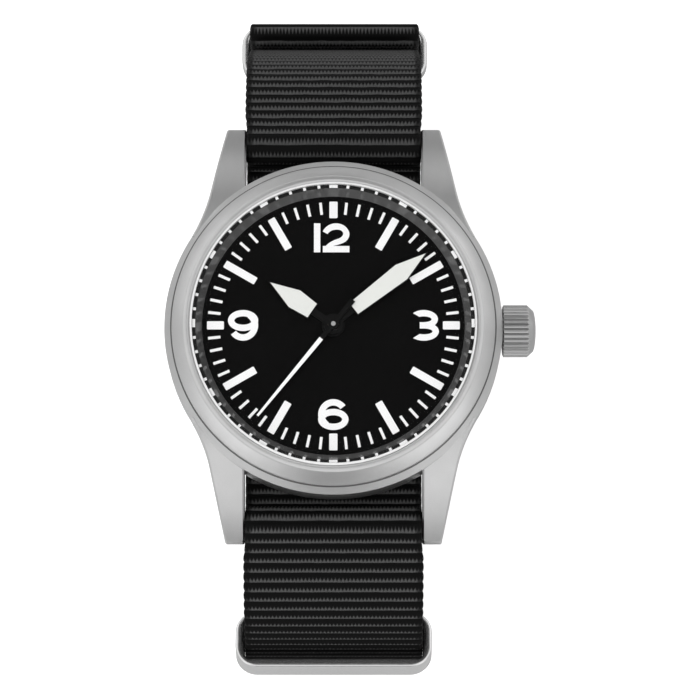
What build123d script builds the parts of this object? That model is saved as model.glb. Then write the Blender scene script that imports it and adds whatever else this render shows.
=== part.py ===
from build123d import *
import os
from math import asin, atan2, cos, degrees, hypot, pi, radians, sin

# Field watch on a pass-through webbing strap, in millimetres.
# +Z points out of the dial, +Y at 12 o'clock and +X at the crown (3 o'clock).
# The origin is on the dial axis, where the strap under the case lies on the wrist.
# Heights in the case count from the top of the dial, and heights at the buckle from its flat underside.

# Height of the dial over the underside of the buckle
watch_height = 54.0

# Shared fits
cut_overrun = 1.0
seat_gap = 0.02
running_gap = 0.05
loose_gap = 0.15
layer_gap = 0.28

# Main plate and movement ring: the case is built round them
plate_radius = 12.8
movement_ring_thickness = 2.05
movement_ring_gap = 0.1

# Case middle
dial_seat_width = 0.85
case_wall_thickness = 3.1
case_foot_drop = 5.2
case_foot_chamfer = 0.3
shoulder_width = 0.8
shoulder_drop = 0.94
back_bore_width = 1.5
back_bore_depth = 0.7

# Lugs
lug_gap = 20.0
lug_tip_gap = 1.87
lug_tip_width = 2.2
lug_flare_angle = 33.0
lug_straight_length = 8.19
lug_taper_angle = 12.0
lug_tip_corner_share = 0.13
lug_top_start_gap = 9.05
lug_top_drop = 0.6
lug_tip_top_drop = 5.6
lug_tip_foot_drop = 7.2
lug_foot_width = 3.2
lug_edge_break = 0.2

# Bezel, crystal and crystal gasket
bezel_seat_gap = 0.05
bezel_rim_height = 0.35
bezel_top_width = 0.4
bezel_lip_width = 0.23
bezel_top_height = 1.55
bezel_lip_drop = 0.12
crystal_foot_height = 1.5
crystal_edge_height = 0.7
crystal_chamfer = 0.4
crystal_dome_rise = 0.45
crystal_gasket_gap = 0.27
crystal_gasket_foot_height = 0.95
crystal_gasket_height = 0.9

# Case back and its gasket
back_rim_width = 1.3
back_rim_height = 0.9
back_slope_width = 3.3
back_thickness = 1.8
back_boss_thickness = 1.2
back_notch_count = 6
back_notch_width = 2.4
back_notch_reach = 1.1
back_notch_depth = 0.6
back_gasket_width = 0.55
back_gasket_height = 0.45

# Dial and flange ring
dial_thickness = 0.4
dial_hole_radius = 1.0
flange_width = 1.1
flange_height = 1.42
flange_foot_height = 0.15
flange_rim_width = 0.38
flange_mark_thickness = 0.04
flange_mark_inset = 0.02
flange_minute_mark_width = 0.32
flange_hour_mark_width = 0.95

# Printed markings: gaps count from the foot of the flange ring
print_thickness = 0.05
minute_bar_width = 0.31
minute_bar_gap = 0.6
minute_bar_length = 1.4
hour_bar_width = 0.87
hour_bar_gap = 0.65
hour_bar_length = 4.0
quarter_bar_width = 0.93
quarter_bar_gap = 0.55
quarter_bar_length = 1.9
number_stroke_width = 0.72
number_width = 3.4
number_height = 3.5
number_gap = 4.6
twelve_gap = 3.05
twelve_height = 3.33
twelve_one_reach = 2.2
twelve_two_reach = 1.2
twelve_two_width = 3.0
two_outer_shares = ((0, 0.72), (0.13, 0.88), (0.49, 1), (0.83, 0.9), (1, 0.62), (0.9, 0.41), (0.67, 0.29),
                    (0.31, 0.2))
two_inner_shares = ((0.02, 0), (0.07, 0.17), (0.22, 0.31), (0.49, 0.44), (0.7, 0.53), (0.765, 0.65), (0.7, 0.745),
                    (0.52, 0.785), (0.33, 0.75), (0.18, 0.63))
three_upper_open_angles = (150.0, 255.0)
three_lower_open_angles = (105.0, 212.0)
six_open_angles = (-120.0, 38.0)

# Hands: gaps count from the foot of the flange ring
hand_thickness = 0.15
lume_thickness = 0.05
lume_border = 0.1
hour_hand_rise = 0.2
hour_hand_angle = 304.3
hour_hand_boss_radius = 1.3
hour_hand_stem_width = 0.8
hour_lume_start_y = 2.78
hour_lume_start_width = 2.06
hour_hand_point_length = 3.62
hour_hand_width = 2.48
hour_hand_gap = 5.85
minute_hand_rise = 0.6
minute_hand_angle = 52.04
minute_hand_boss_radius = 1.07
minute_hand_stem_width = 0.8
minute_lume_start_y = 2.8
minute_lume_start_width = 1.78
minute_hand_point_length = 3.82
minute_hand_width = 2.28
minute_hand_gap = 1.25
seconds_hand_rise = 0.98
seconds_hand_angle = 219.0
seconds_hand_thickness = 0.12
seconds_boss_radius = 0.6
seconds_pin_radius = 0.25
seconds_pin_height = 0.2
seconds_hand_gap = 1.3
seconds_lume_start_y = 2.15
seconds_hand_width = 0.55
seconds_tip_width = 0.26
seconds_tail_reach = 3.5
seconds_tail_width = 0.62

# Crown, crown tube, crown gasket and winding stem
crown_drop = 3.7
crown_radius = 2.95
crown_case_gap = 0.25
crown_length = 3.6
crown_dome_rise = 0.25
crown_end_chamfer = 0.35
crown_foot_chamfer = 0.2
crown_flute_count = 26
crown_flute_depth = 0.17
crown_flute_shares = (0.0, 0.3, 0.42, 0.88)
crown_cavity_radius = 2.15
crown_cavity_depth = 2.45
tube_outer_radius = 1.25
tube_bore_radius = 0.6
tube_embed = 1.7
tube_stand_out = 1.9
crown_gasket_wire_radius = 0.34
crown_gasket_depth = 0.9
stem_radius = 0.45
stem_inner_end_x = 7.35
stem_thread_depth = 0.5

# Movement ring, main plate and train bridge
movement_ring_foot_drop = 4.55
stem_slot_radius = 1.0
plate_top_drop = 1.5
plate_thickness = 1.1
bearing_block_length = 2.0
bearing_block_half_width = 1.5
bearing_block_drop = 1.95
bridge_top_drop = 4.12
bridge_thickness = 0.45
bridge_half_width = 3.3
bridge_left_reach = 6.4
bridge_right_reach = 5.2
pillar_radius = 0.55
pivot_radius = 0.13

# Gear trains: tooth counts are fixed by the running of the watch
tooth_root_share = 0.26
tooth_tip_share = 0.09
tooth_top_share = 0.8
tooth_root_depth_share = 1.15
wheel_thickness = 0.15
pinion_thickness = 0.3
arbor_radius = 0.12
third_centre_reach = 3.06
third_angle = 160.0
fifth_centre_reach = 3.3
fifth_angle = 300.0
rotor_centre_reach = 2.8
rotor_angle = 250.0
minute_wheel_reach = 2.7
setting_wheel_teeth = 18
centre_wheel_drop = 2.78
third_wheel_drop = 3.2
fourth_wheel_drop = 3.62
seconds_arbor_radius = 0.13
centre_pipe_radius = 0.32
centre_pipe_top_drop = 0.95
cannon_outer_radius = 0.6
cannon_level_drop = 1.12
hour_pipe_radius = 0.9
hour_wheel_drop = 0.6
hour_wheel_thickness = 0.2
washer_outer_radius = 1.8
washer_thickness = 0.08
setting_disc_radius = 1.1
setting_disc_drop = 2.72

# Motor: rotor magnet, stator, coil
rotor_magnet_radius = 0.62
rotor_magnet_height = 0.36
stator_hole_radius = 0.85
stator_top_drop = 2.66
stator_thickness = 0.36
stator_pole_radius = 1.75
stator_arm_width = 1.5
coil_reach = 9.7
coil_centre_x = -0.8
coil_half_length = 3.6
coil_core_half_length = 5.6
coil_radius = 1.1
coil_core_half_width = 0.55
coil_level_drop = 3.9

# Electric parts
battery_radius = 3.4
battery_height = 2.1
battery_top_drop = 2.68
battery_x = -3.3
battery_y = 8.7
clamp_thickness = 0.18
clamp_width = 2.2
board_thickness = 0.2
board_inner_radius = 7.2
board_outer_radius = 12.2
board_start_angle = 150.0
board_sweep = 62.0
chip_size = 2.2
chip_height = 0.7
chip_angle = 172.0
quartz_radius = 0.75
quartz_length = 5.0
quartz_angle = 203.0
electric_reach = 9.7

# Setting work
clutch_radius = 0.85
clutch_length = 1.5
clutch_start_x = 9.5
clutch_teeth = 18
lever_pivot_x = 10.6
lever_pivot_y = -3.4
lever_thickness = 0.2
lever_level_drop = 4.35
lever_width = 1.1
lever_reach = 2.7
lever_angle = 125.0
yoke_pivot_x = 8.4
yoke_pivot_y = 4.2
yoke_width = 0.9
yoke_reach = 2.9
yoke_angle = 265.0
yoke_level_drop = 4.6
setting_spring_length = 3.6
setting_spring_width = 0.45
screw_head_radius = 0.75
screw_head_height = 0.3
screw_shank_radius = 0.35
screw_shank_length = 0.9
screw_slot_width = 0.2
screw_rim_gap = 1.4
screw_angles = (30.0, 78.0, 222.0, 330.0)

# Spring bars
bar_gap = 2.95
bar_drop = 6.0
bar_tube_radius = 0.75
bar_tube_bore = 0.46
plunger_travel = 0.95
plunger_lug_gap = 0.09
plunger_stem_radius = 0.41
plunger_stem_length = 2.4
plunger_collar_radius = 0.75
plunger_collar_length = 0.32
plunger_tip_radius = 0.38
plunger_tip_length = 1.1
bar_hole_radius = 0.45
bar_spring_wire_radius = 0.08
bar_spring_radius = 0.34
bar_spring_half_length = 4.8

# Webbing strap
strap_width = 19.8
strap_thickness = 1.2
strap_bar_gap = 0.25
strap_under_case_bend = 1.2
shoulder_slope = 27.0
six_fall_slope = 76.0
twelve_fall_slope = 72.0
fall_gap = 10.73
fall_drop = 15.5
fall_bend = 13.0
six_side_gap = 1.9
six_side_bend = 29.0
six_bottom_inset = 4.0
six_bottom_bend = 12.0
twelve_side_gap = 3.4
twelve_side_bend = 22.0
twelve_bottom_bend = 12.5
buckle_step_start_y = -2.4
buckle_step_end_y = 0.4
buckle_step_bend = 4.5
fold_rise_start_length = 3.0
fold_rise_length = 2.5
fold_rise_bend = 2.0
strap_fold_length = 11.0
tail_rise_start_y = 15.8
tail_rise_end_y = 20.2
tail_lift_height = 3.0
tail_rise_bend = 5.0
tail_bottom_bend = 14.0
tail_fold_height = 29.0
tail_end_height = 12.0
strap_hole_radius = 0.9
strap_hole_pitch = 7.0
tongue_hole_length = 4.4
tongue_hole_width = 2.2
tongue_slit_gap = 0.4
tongue_slit_reach = 1.7

# Under-strap
under_start_y = 9.0
under_spread_start_y = 11.0
under_spread_end_y = 20.0
under_entry_bend = 10.0
under_exit_reach = 25.3
under_exit_bend = 8.0
loop_length = 4.5
loop_return_bend = 1.5

# Rings: the slide ring at 6 o'clock and the two keepers
ring_width = 22.5
ring_length = 6.8
ring_band_thickness = 1.05
ring_height = 2.9
ring_outer_corner = 2.5
ring_inner_corner = 0.6
ring_edge_break = 0.25
slide_ring_down_length = 6.4
slide_ring_lean = -16.0
slide_ring_strap_gap = 3.52
upper_keeper_height = 21.3
lower_keeper_y = 23.4

# Buckle
frame_inner_gap = 0.25
frame_arm_width = 1.6
frame_crossbar_start_y = -8.0
frame_crossbar_width = 1.8
frame_height = 2.0
frame_corner = 2.0
hinge_y = 7.0
hinge_height = 3.9
hinge_bar_radius = 0.6
ear_radius = 1.2
tongue_ring_thickness = 0.6
tongue_width = 1.7
tongue_thickness = 0.9
tongue_notch_gap = 0.15
tongue_notch_depth = 1.2
tongue_bend_start_y = 3.2
tongue_bend_end_y = -3.2
tongue_bend = 1.2
tongue_tip_y = -7.6
tongue_rest_height = 0.6


def polar(distance, angle, centre=(0, 0)):
    """A point at a distance and a counter-clockwise angle from a centre."""
    return (centre[0] + distance * cos(radians(angle)), centre[1] + distance * sin(radians(angle)))


def meet(point_a, angle_a, point_b, angle_b):
    """Where a line through point_a crosses a line through point_b."""
    ax, ay = cos(radians(angle_a)), sin(radians(angle_a))
    bx, by = cos(radians(angle_b)), sin(radians(angle_b))
    dx, dy = point_b[0] - point_a[0], point_b[1] - point_a[1]
    along = (dx * by - dy * bx) / (ax * by - ay * bx)
    return (point_a[0] + ax * along, point_a[1] + ay * along)


def disc(radius, bottom, top, at=(0, 0)):
    """An upright cylinder."""
    return extrude(Pos(at[0], at[1], bottom) * Circle(radius), top - bottom)


def collar(outer, bore, bottom, top, at=(0, 0)):
    """An upright ring with a bore."""
    return disc(outer, bottom, top, at) - disc(bore, bottom - cut_overrun, top + cut_overrun, at)


def slab(x_range, y_range, z_range):
    """A box between three pairs of limits."""
    size = [high - low for low, high in (x_range, y_range, z_range)]
    middle = [(high + low) / 2 for low, high in (x_range, y_range, z_range)]
    return Pos(*middle) * Box(*size)


def rod(radius, start, end, y, z):
    """A cylinder along X."""
    plane = Plane(origin=(start, y, z), x_dir=(0, 1, 0), z_dir=(1, 0, 0))
    return extrude(plane * Circle(radius), end - start)


def turned(points, axis=Axis.Z):
    """A solid turned about an axis from an outline of radius and height."""
    outline = Plane.XZ * make_face(Polyline(*points, close=True))
    return revolve(outline, axis)


def plank(face, half_width):
    """A face drawn in Y and Z, given a width along X about the middle."""
    return extrude(Plane.YZ * face, half_width, both=True)


def band(points, bends, thickness, half_width):
    """A strip of even thickness that follows a rounded path in Y and Z."""
    path = FilletPolyline(*points, radius=bends)
    return plank(trace(path, thickness), half_width)


def toothed(teeth, module, bottom, top, at=(0, 0), turn=0.0):
    """A toothed disc whose first tooth points at the angle given by turn."""
    tip = module * (teeth / 2 + tooth_top_share)
    root = module * (teeth / 2 - tooth_root_depth_share)
    corners = ((root, -tooth_root_share), (tip, -tooth_tip_share),
               (tip, tooth_tip_share), (root, tooth_root_share))
    points = []
    for number in range(teeth):
        for radius, share in corners:
            points.append(polar(radius, turn + (number + share) * 360 / teeth, at))
    return extrude(Pos(0, 0, bottom) * make_face(Polyline(*points, close=True)), top - bottom)


def save(name, *pieces):
    """Write one node, as one solid or as a group of separate solids."""
    shape = pieces[0] if len(pieces) == 1 else Compound(children=list(pieces))
    export_step(shape, f"parts/{name}.step")


movement_ring_inner = plate_radius + loose_gap
movement_ring_outer = movement_ring_inner + movement_ring_thickness
movement_bore_radius = movement_ring_outer + movement_ring_gap
dial_seat_radius = movement_bore_radius + dial_seat_width
case_radius = dial_seat_radius + case_wall_thickness
shoulder_radius = case_radius - shoulder_width
back_bore_radius = movement_bore_radius + back_bore_width
back_radius = back_bore_radius + back_rim_width
back_flat_radius = back_radius - back_slope_width
bezel_outer_radius = shoulder_radius - bezel_seat_gap
crystal_radius = dial_seat_radius - movement_ring_gap
bezel_bore_radius = crystal_radius + crystal_gasket_gap
bezel_top_inner_radius = bezel_bore_radius + bezel_lip_width
bezel_top_outer_radius = bezel_top_inner_radius + bezel_top_width
flange_inner_radius = crystal_radius - flange_width
bar_reach = case_radius + bar_gap
lug_tip_reach = bar_reach + lug_tip_gap
fall_reach = lug_tip_reach + fall_gap
six_side_reach = fall_reach + six_side_gap
six_bottom_reach = six_side_reach - six_bottom_inset
twelve_side_reach = fall_reach + twelve_side_gap
lug_top_start = case_radius - lug_top_start_gap
screw_circle_radius = plate_radius - screw_rim_gap
hour_hand_reach = flange_inner_radius - hour_hand_gap
minute_hand_reach = flange_inner_radius - minute_hand_gap
seconds_hand_reach = flange_inner_radius - seconds_hand_gap

strap_stack = 2 * strap_thickness + 2 * layer_gap
dial_level = case_foot_drop + back_thickness + strap_stack
rest_level = dial_level - watch_height


def above_rest(height):
    """A height above the underside of the buckle."""
    return rest_level + height


def below_dial(drop):
    """The height of a plane below the top of the dial."""
    return dial_level - drop


def above_dial(rise):
    """The height of a plane above the top of the dial."""
    return dial_level + rise


crown_level = below_dial(crown_drop)
crown_plane = Plane(origin=(0, 0, crown_level), x_dir=(0, 1, 0), z_dir=(1, 0, 0))
bar_level = below_dial(bar_drop)
case_foot = below_dial(case_foot_drop)
back_foot = case_foot - back_thickness
dial_foot = below_dial(dial_thickness)
plate_top = below_dial(plate_top_drop)
plate_foot = plate_top - plate_thickness
bridge_top = below_dial(bridge_top_drop)
bridge_foot = bridge_top - bridge_thickness


# Case middle with its four lugs

def make_lug():
    """The lug at the crown side of 12 o'clock, from its plan and its side view."""
    flare_start = polar(case_radius, lug_flare_angle)
    inner_x = lug_gap / 2
    tip_outer = (inner_x + lug_tip_width, lug_tip_reach)
    flare_end = polar(lug_straight_length, lug_taper_angle - 90, tip_outer)
    flare = TangentArc(flare_end, flare_start, tangent=polar(1, lug_taper_angle - 90))
    rest = Polyline(flare_end, tip_outer, (inner_x, lug_tip_reach), (inner_x, flare_start[1]), flare_start)
    plan = make_face([*flare.edges(), *rest.edges()])
    plan = fillet(plan.vertices().sort_by(Axis.Y)[-2:], lug_tip_width * lug_tip_corner_share)
    column = extrude(Pos(0, 0, below_dial(lug_tip_foot_drop)) * plan, lug_tip_foot_drop)

    run = lug_tip_reach - lug_top_start
    fall = lug_tip_top_drop - lug_top_drop
    bend = (run * run + fall * fall) / (2 * fall)
    top = JernArc((lug_top_start, below_dial(lug_top_drop)), (1, 0), bend, -degrees(asin(run / bend)))
    side_rest = Polyline(
        (lug_tip_reach, below_dial(lug_tip_top_drop)),
        (lug_tip_reach, below_dial(lug_tip_foot_drop)),
        (lug_tip_reach - lug_foot_width, below_dial(lug_tip_foot_drop)),
        (case_radius - lug_foot_width, case_foot),
        (lug_top_start, case_foot),
        (lug_top_start, below_dial(lug_top_drop)),
    )
    side = make_face([*top.edges(), *side_rest.edges()])
    lug = column & plank(side, case_radius)
    free_from = case_radius * cos(radians(lug_flare_angle))
    sharp = lug.edges().filter_by(lambda edge: edge.center().Y > free_from)
    high = sharp.filter_by(lambda edge: edge.center().Z > below_dial(lug_tip_top_drop) + lug_edge_break)
    return chamfer(high.filter_by(lambda edge: abs(edge.tangent_at(0.5).Z) < cos(pi / 6)), lug_edge_break)


def make_case():
    """The case body with its bores, lugs, spring-bar holes and crown-tube hole."""
    body = turned([
        (movement_bore_radius, case_foot + back_bore_depth),
        (back_bore_radius, case_foot + back_bore_depth),
        (back_bore_radius, case_foot),
        (case_radius - case_foot_chamfer, case_foot),
        (case_radius, case_foot + case_foot_chamfer),
        (case_radius, below_dial(shoulder_drop)),
        (shoulder_radius, dial_level),
        (dial_seat_radius, dial_level),
        (dial_seat_radius, dial_foot),
        (movement_bore_radius, dial_foot),
    ])
    lug = make_lug() - disc(back_bore_radius, below_dial(lug_tip_foot_drop), dial_level)
    lugs = [lug, mirror(lug, Plane.YZ), mirror(lug, Plane.XZ), mirror(mirror(lug, Plane.YZ), Plane.XZ)]
    for piece in lugs:
        body += piece
    groove = collar(
        back_bore_radius + back_gasket_width + seat_gap, back_bore_radius - cut_overrun,
        case_foot - cut_overrun, case_foot + back_gasket_height + seat_gap)
    body -= groove
    hole_end = lug_gap / 2 + plunger_tip_length + loose_gap
    for y in (bar_reach, -bar_reach):
        body -= rod(bar_hole_radius, -hole_end, hole_end, y, bar_level)
    body -= rod(tube_outer_radius + seat_gap, case_radius - tube_embed, case_radius + cut_overrun,
                0, crown_level)
    body -= rod(tube_bore_radius, movement_bore_radius - cut_overrun, case_radius, 0, crown_level)
    return body


def make_bezel():
    """The fixed bezel: a sloped matte face, a narrow polished top and an inner lip."""
    return turned([
        (bezel_bore_radius, dial_level),
        (bezel_outer_radius, dial_level),
        (bezel_outer_radius, above_dial(bezel_rim_height)),
        (bezel_top_outer_radius, above_dial(bezel_top_height)),
        (bezel_top_inner_radius, above_dial(bezel_top_height)),
        (bezel_bore_radius, above_dial(bezel_top_height - bezel_lip_drop)),
    ])


def make_crystal():
    """The domed crystal with a bevelled edge."""
    edge_top = above_dial(crystal_foot_height + crystal_edge_height)
    dome_radius = crystal_radius - crystal_chamfer
    dome_foot = edge_top + crystal_chamfer / 2
    dome_top = dome_foot + crystal_dome_rise
    dome = TangentArc((0, dome_top), (dome_radius, dome_foot), tangent=(1, 0))
    foot = above_dial(crystal_foot_height)
    rest = Polyline((dome_radius, dome_foot), (crystal_radius, edge_top), (crystal_radius, foot),
                    (0, foot), (0, dome_top))
    return revolve(Plane.XZ * make_face([*dome.edges(), *rest.edges()]), Axis.Z)


def make_case_back():
    """The screw-down back: a rim with key notches and a boss that enters the case."""
    back = turned([
        (0, back_foot),
        (back_flat_radius, back_foot),
        (back_radius, case_foot - back_rim_height),
        (back_radius, case_foot),
        (0, case_foot),
    ])
    boss_outer = movement_bore_radius + back_boss_thickness
    back += collar(boss_outer, boss_outer - back_boss_thickness, case_foot - seat_gap,
                   case_foot + back_bore_depth)
    for number in range(back_notch_count):
        notch = slab((back_radius - back_notch_reach, back_radius + cut_overrun),
                     (-back_notch_width / 2, back_notch_width / 2),
                     (back_foot - cut_overrun, case_foot - back_rim_height + back_notch_depth))
        back -= Rot(0, 0, number * 360 / back_notch_count) * notch
    return back


# Dial, flange ring and printed markings

def make_flange():
    """The black ring between the dial and the crystal: a slope below a flat top."""
    return turned([
        (flange_inner_radius, dial_level),
        (crystal_radius, dial_level),
        (crystal_radius, above_dial(flange_height)),
        (crystal_radius - flange_rim_width, above_dial(flange_height)),
        (flange_inner_radius, above_dial(flange_foot_height)),
    ])


def make_flange_marks():
    """Sixty dashes printed on the flat top of the flange ring."""
    start_radius = crystal_radius - flange_rim_width + flange_mark_inset
    end_radius = crystal_radius - flange_mark_inset
    foot = above_dial(flange_height)
    top = foot + flange_mark_thickness
    section = Plane.XZ * make_face(Polyline(
        (start_radius, foot), (end_radius, foot), (end_radius, top), (start_radius, top), close=True))
    marks = []
    for minute in range(60):
        width = flange_hour_mark_width if minute % 5 == 0 else flange_minute_mark_width
        angle = degrees(width / end_radius)
        marks.append(Rot(0, 0, minute * 6 - angle / 2) * revolve(section, Axis.Z, angle))
    return marks


def bar(gap, length, width, angle):
    """One printed bar that points at the centre of the dial."""
    middle = flange_inner_radius - gap - length / 2
    plain = Pos(0, middle) * RectangleRounded(width, length, width / 8)
    return Rot(0, 0, angle) * extrude(Pos(0, 0, dial_level) * plain, print_thickness)


def bow(centre, half_width, half_height, open_from, open_to):
    """An oval stroke, open between two angles."""
    inside = Ellipse(half_width - number_stroke_width, half_height - number_stroke_width)
    oval = Ellipse(half_width, half_height) - inside
    far = half_width + half_height
    corners = [(0, 0), polar(far, open_from), polar(far, (open_from + open_to) / 2), polar(far, open_to)]
    return Pos(*centre) * (oval - make_face(Polyline(*corners, close=True)))


def bowl_half_height(height):
    """Half the height of one of two stacked bowls that share a stroke."""
    return (height + number_stroke_width) / 4


def draw_two(left, top, width, height):
    """The figure 2: a stroke that curls over, sweeps down to the left and ends in a foot."""
    bottom = top - height
    outer = [(left + width * across, bottom + height * up) for across, up in two_outer_shares]
    inner = [(left + width * across, bottom + height * up) for across, up in two_inner_shares]
    edge = Spline(*outer) + Polyline(outer[-1], (outer[-1][0], bottom), inner[0]) + Spline(*inner)
    stroke = make_face(edge + Line(inner[-1], outer[0]))
    return stroke + Pos(left + width / 2, bottom + number_stroke_width / 2) * Rectangle(width, number_stroke_width)


def draw_three():
    """The figure 3: two bows that open to the left and a short middle stroke."""
    half = bowl_half_height(number_height)
    upper = bow((0, number_height / 2 - half), number_width * 15 / 32, half, *three_upper_open_angles)
    lower = bow((0, half - number_height / 2), number_width / 2, half, *three_lower_open_angles)
    middle = Pos(number_stroke_width / 8, 0) * Rectangle(number_stroke_width * 1.5, number_stroke_width)
    return upper + lower + middle


def draw_six():
    """The figure 6: a closed bowl and a long back that curls over it."""
    half = bowl_half_height(number_height) + number_stroke_width / 5
    inside = Ellipse(number_width / 2 - number_stroke_width, half - number_stroke_width)
    bowl = Ellipse(number_width / 2, half) - inside
    back = bow((0, 0), number_width / 2, number_height / 2, *six_open_angles)
    return back + Pos(0, half - number_height / 2) * bowl


def make_dial_markers():
    """All the printed bars and numbers on the dial."""
    markers = []
    for minute in range(60):
        if minute % 15 == 0:
            markers.append(bar(quarter_bar_gap, quarter_bar_length, quarter_bar_width, minute * 6))
        elif minute % 5 == 0:
            markers.append(bar(hour_bar_gap, hour_bar_length, hour_bar_width, minute * 6))
        else:
            markers.append(bar(minute_bar_gap, minute_bar_length, minute_bar_width, minute * 6))
    number_reach = flange_inner_radius - number_gap
    twelve_top = flange_inner_radius - twelve_gap
    one = Pos(number_stroke_width / 2 - twelve_one_reach, twelve_top - twelve_height / 2) * Rectangle(
        number_stroke_width, twelve_height)
    figures = [
        one,
        draw_two(-twelve_two_reach, twelve_top, twelve_two_width, twelve_height),
        Pos(number_reach, 0) * draw_three(),
        Pos(0, -number_reach) * draw_six(),
        Pos(-number_reach, 0) * Rot(0, 0, 180) * draw_six(),
    ]
    for figure in figures:
        markers.append(extrude(Pos(0, 0, dial_level) * figure, print_thickness))
    return markers


# Hands

def blade(start, start_width, point_length, width, reach, inset):
    """The outline of a pointed hand, drawn towards 12 o'clock and drawn in by an inset."""
    wide_at = reach - point_length
    tip_slope = hypot(point_length, width / 2) / (width / 2)
    half = width / 2 - inset
    return make_face(Polyline(
        (-start_width / 2 + inset, start + inset), (-half, wide_at), (0, reach - inset * tip_slope),
        (half, wide_at), (start_width / 2 - inset, start + inset), close=True))


def make_hand(rise, angle, boss_radius, hole_radius, stem_width, outline):
    """A flat hand: boss, stem and blade in one sheet."""
    stem_end = outline.bounding_box().min.Y + stem_width / 2
    stem = Pos(0, stem_end / 2) * Rectangle(stem_width, stem_end)
    sheet = Circle(boss_radius) + stem + outline - Circle(hole_radius)
    return Rot(0, 0, -angle) * extrude(Pos(0, 0, above_dial(rise)) * sheet, hand_thickness)


def make_lume(rise, angle, outline):
    """The luminous fill that lies on a hand."""
    coat = extrude(Pos(0, 0, above_dial(rise + hand_thickness)) * outline, lume_thickness)
    return Rot(0, 0, -angle) * coat


def make_seconds_hand():
    """The thin seconds hand with its boss, short tail and polished centre pin."""
    tip = seconds_tip_width / 2
    root = seconds_hand_width / 2
    tail = seconds_tail_width / 2
    sheet = make_face(Polyline(
        (-root, 0), (-tip, seconds_hand_reach), (tip, seconds_hand_reach), (root, 0),
        (tail, -seconds_tail_reach), (-tail, -seconds_tail_reach), close=True))
    bottom = above_dial(seconds_hand_rise)
    top = bottom + seconds_hand_thickness
    hand = extrude(Pos(0, 0, bottom) * (sheet + Circle(seconds_boss_radius)), seconds_hand_thickness)
    hand += disc(seconds_pin_radius, top, top + seconds_pin_height)
    hand -= disc(seconds_arbor_radius + seat_gap, bottom - cut_overrun, top)
    return Rot(0, 0, -seconds_hand_angle) * hand


def make_seconds_lume():
    """The white coat along the seconds hand."""
    taper = (seconds_hand_width - seconds_tip_width) / seconds_hand_reach
    start = (seconds_hand_width - taper * seconds_lume_start_y) / 2
    tip = seconds_tip_width / 2
    sheet = make_face(Polyline((-start, seconds_lume_start_y), (-tip, seconds_hand_reach),
                               (tip, seconds_hand_reach), (start, seconds_lume_start_y), close=True))
    top = above_dial(seconds_hand_rise) + seconds_hand_thickness
    return Rot(0, 0, -seconds_hand_angle) * extrude(Pos(0, 0, top) * sheet, lume_thickness)


# Crown and stem

crown_start = case_radius + crown_case_gap


def make_crown():
    """The fluted crown with a bevelled, slightly domed end and a hollow underside."""
    body_length = crown_length - crown_dome_rise
    root = crown_radius - crown_flute_depth
    corners = zip((root, root, crown_radius, crown_radius), crown_flute_shares)
    points = []
    for radius, share in list(corners) * crown_flute_count:
        number = len(points) // len(crown_flute_shares)
        points.append(polar(radius, (number + share) * 360 / crown_flute_count))
    fluted = extrude(make_face(Polyline(*points, close=True)), crown_length)
    flat = crown_radius - crown_end_chamfer
    dome = TangentArc((0, crown_length), (flat, body_length), tangent=(1, 0))
    rest = Polyline(
        (flat, body_length), (crown_radius, body_length - crown_end_chamfer),
        (crown_radius, crown_foot_chamfer), (crown_radius - crown_foot_chamfer, 0), (0, 0),
        (0, crown_length))
    envelope = revolve(Plane.XZ * make_face([*dome.edges(), *rest.edges()]), Axis.Z)
    crown = fluted & envelope
    crown -= disc(crown_cavity_radius, -cut_overrun, crown_cavity_depth)
    crown -= disc(stem_radius + seat_gap, 0, crown_cavity_depth + stem_thread_depth)
    return crown_plane * Pos(0, 0, crown_start) * crown


def make_crown_tube():
    """The tube pressed into the case wall, which the stem runs in."""
    start = case_radius - tube_embed
    end = crown_start + tube_stand_out
    return crown_plane * collar(tube_outer_radius, tube_bore_radius, start, end)


def make_crown_gasket():
    """The rubber ring inside the crown that seals on the tube."""
    middle = (tube_outer_radius + crown_cavity_radius) / 2
    place = Pos(0, 0, crown_start + crown_gasket_depth)
    return crown_plane * place * Torus(middle, crown_gasket_wire_radius)


def make_stem():
    """The winding stem, screwed into the crown."""
    end = crown_start + crown_cavity_depth + stem_thread_depth - seat_gap
    return rod(stem_radius, stem_inner_end_x, end, 0, crown_level)


# Movement: plates, motor, trains

third_at = polar(third_centre_reach, third_angle)
fifth_at = polar(fifth_centre_reach, fifth_angle)
rotor_at = polar(rotor_centre_reach, rotor_angle, fifth_at)
minute_wheel_at = (minute_wheel_reach, 0)

cannon_teeth = 12
minute_wheel_teeth = 36
minute_pinion_teeth = 10
hour_wheel_teeth = 40
centre_wheel_teeth = 60
third_wheel_teeth = 64
third_pinion_teeth = 8
fourth_pinion_teeth = 8
fourth_wheel_teeth = 50
fifth_pinion_teeth = 10
fifth_wheel_teeth = 48
rotor_pinion_teeth = 8


def module_of(distance, teeth_a, teeth_b):
    """The tooth module of a pair of wheels at a distance."""
    return 2 * distance / (teeth_a + teeth_b)


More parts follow.
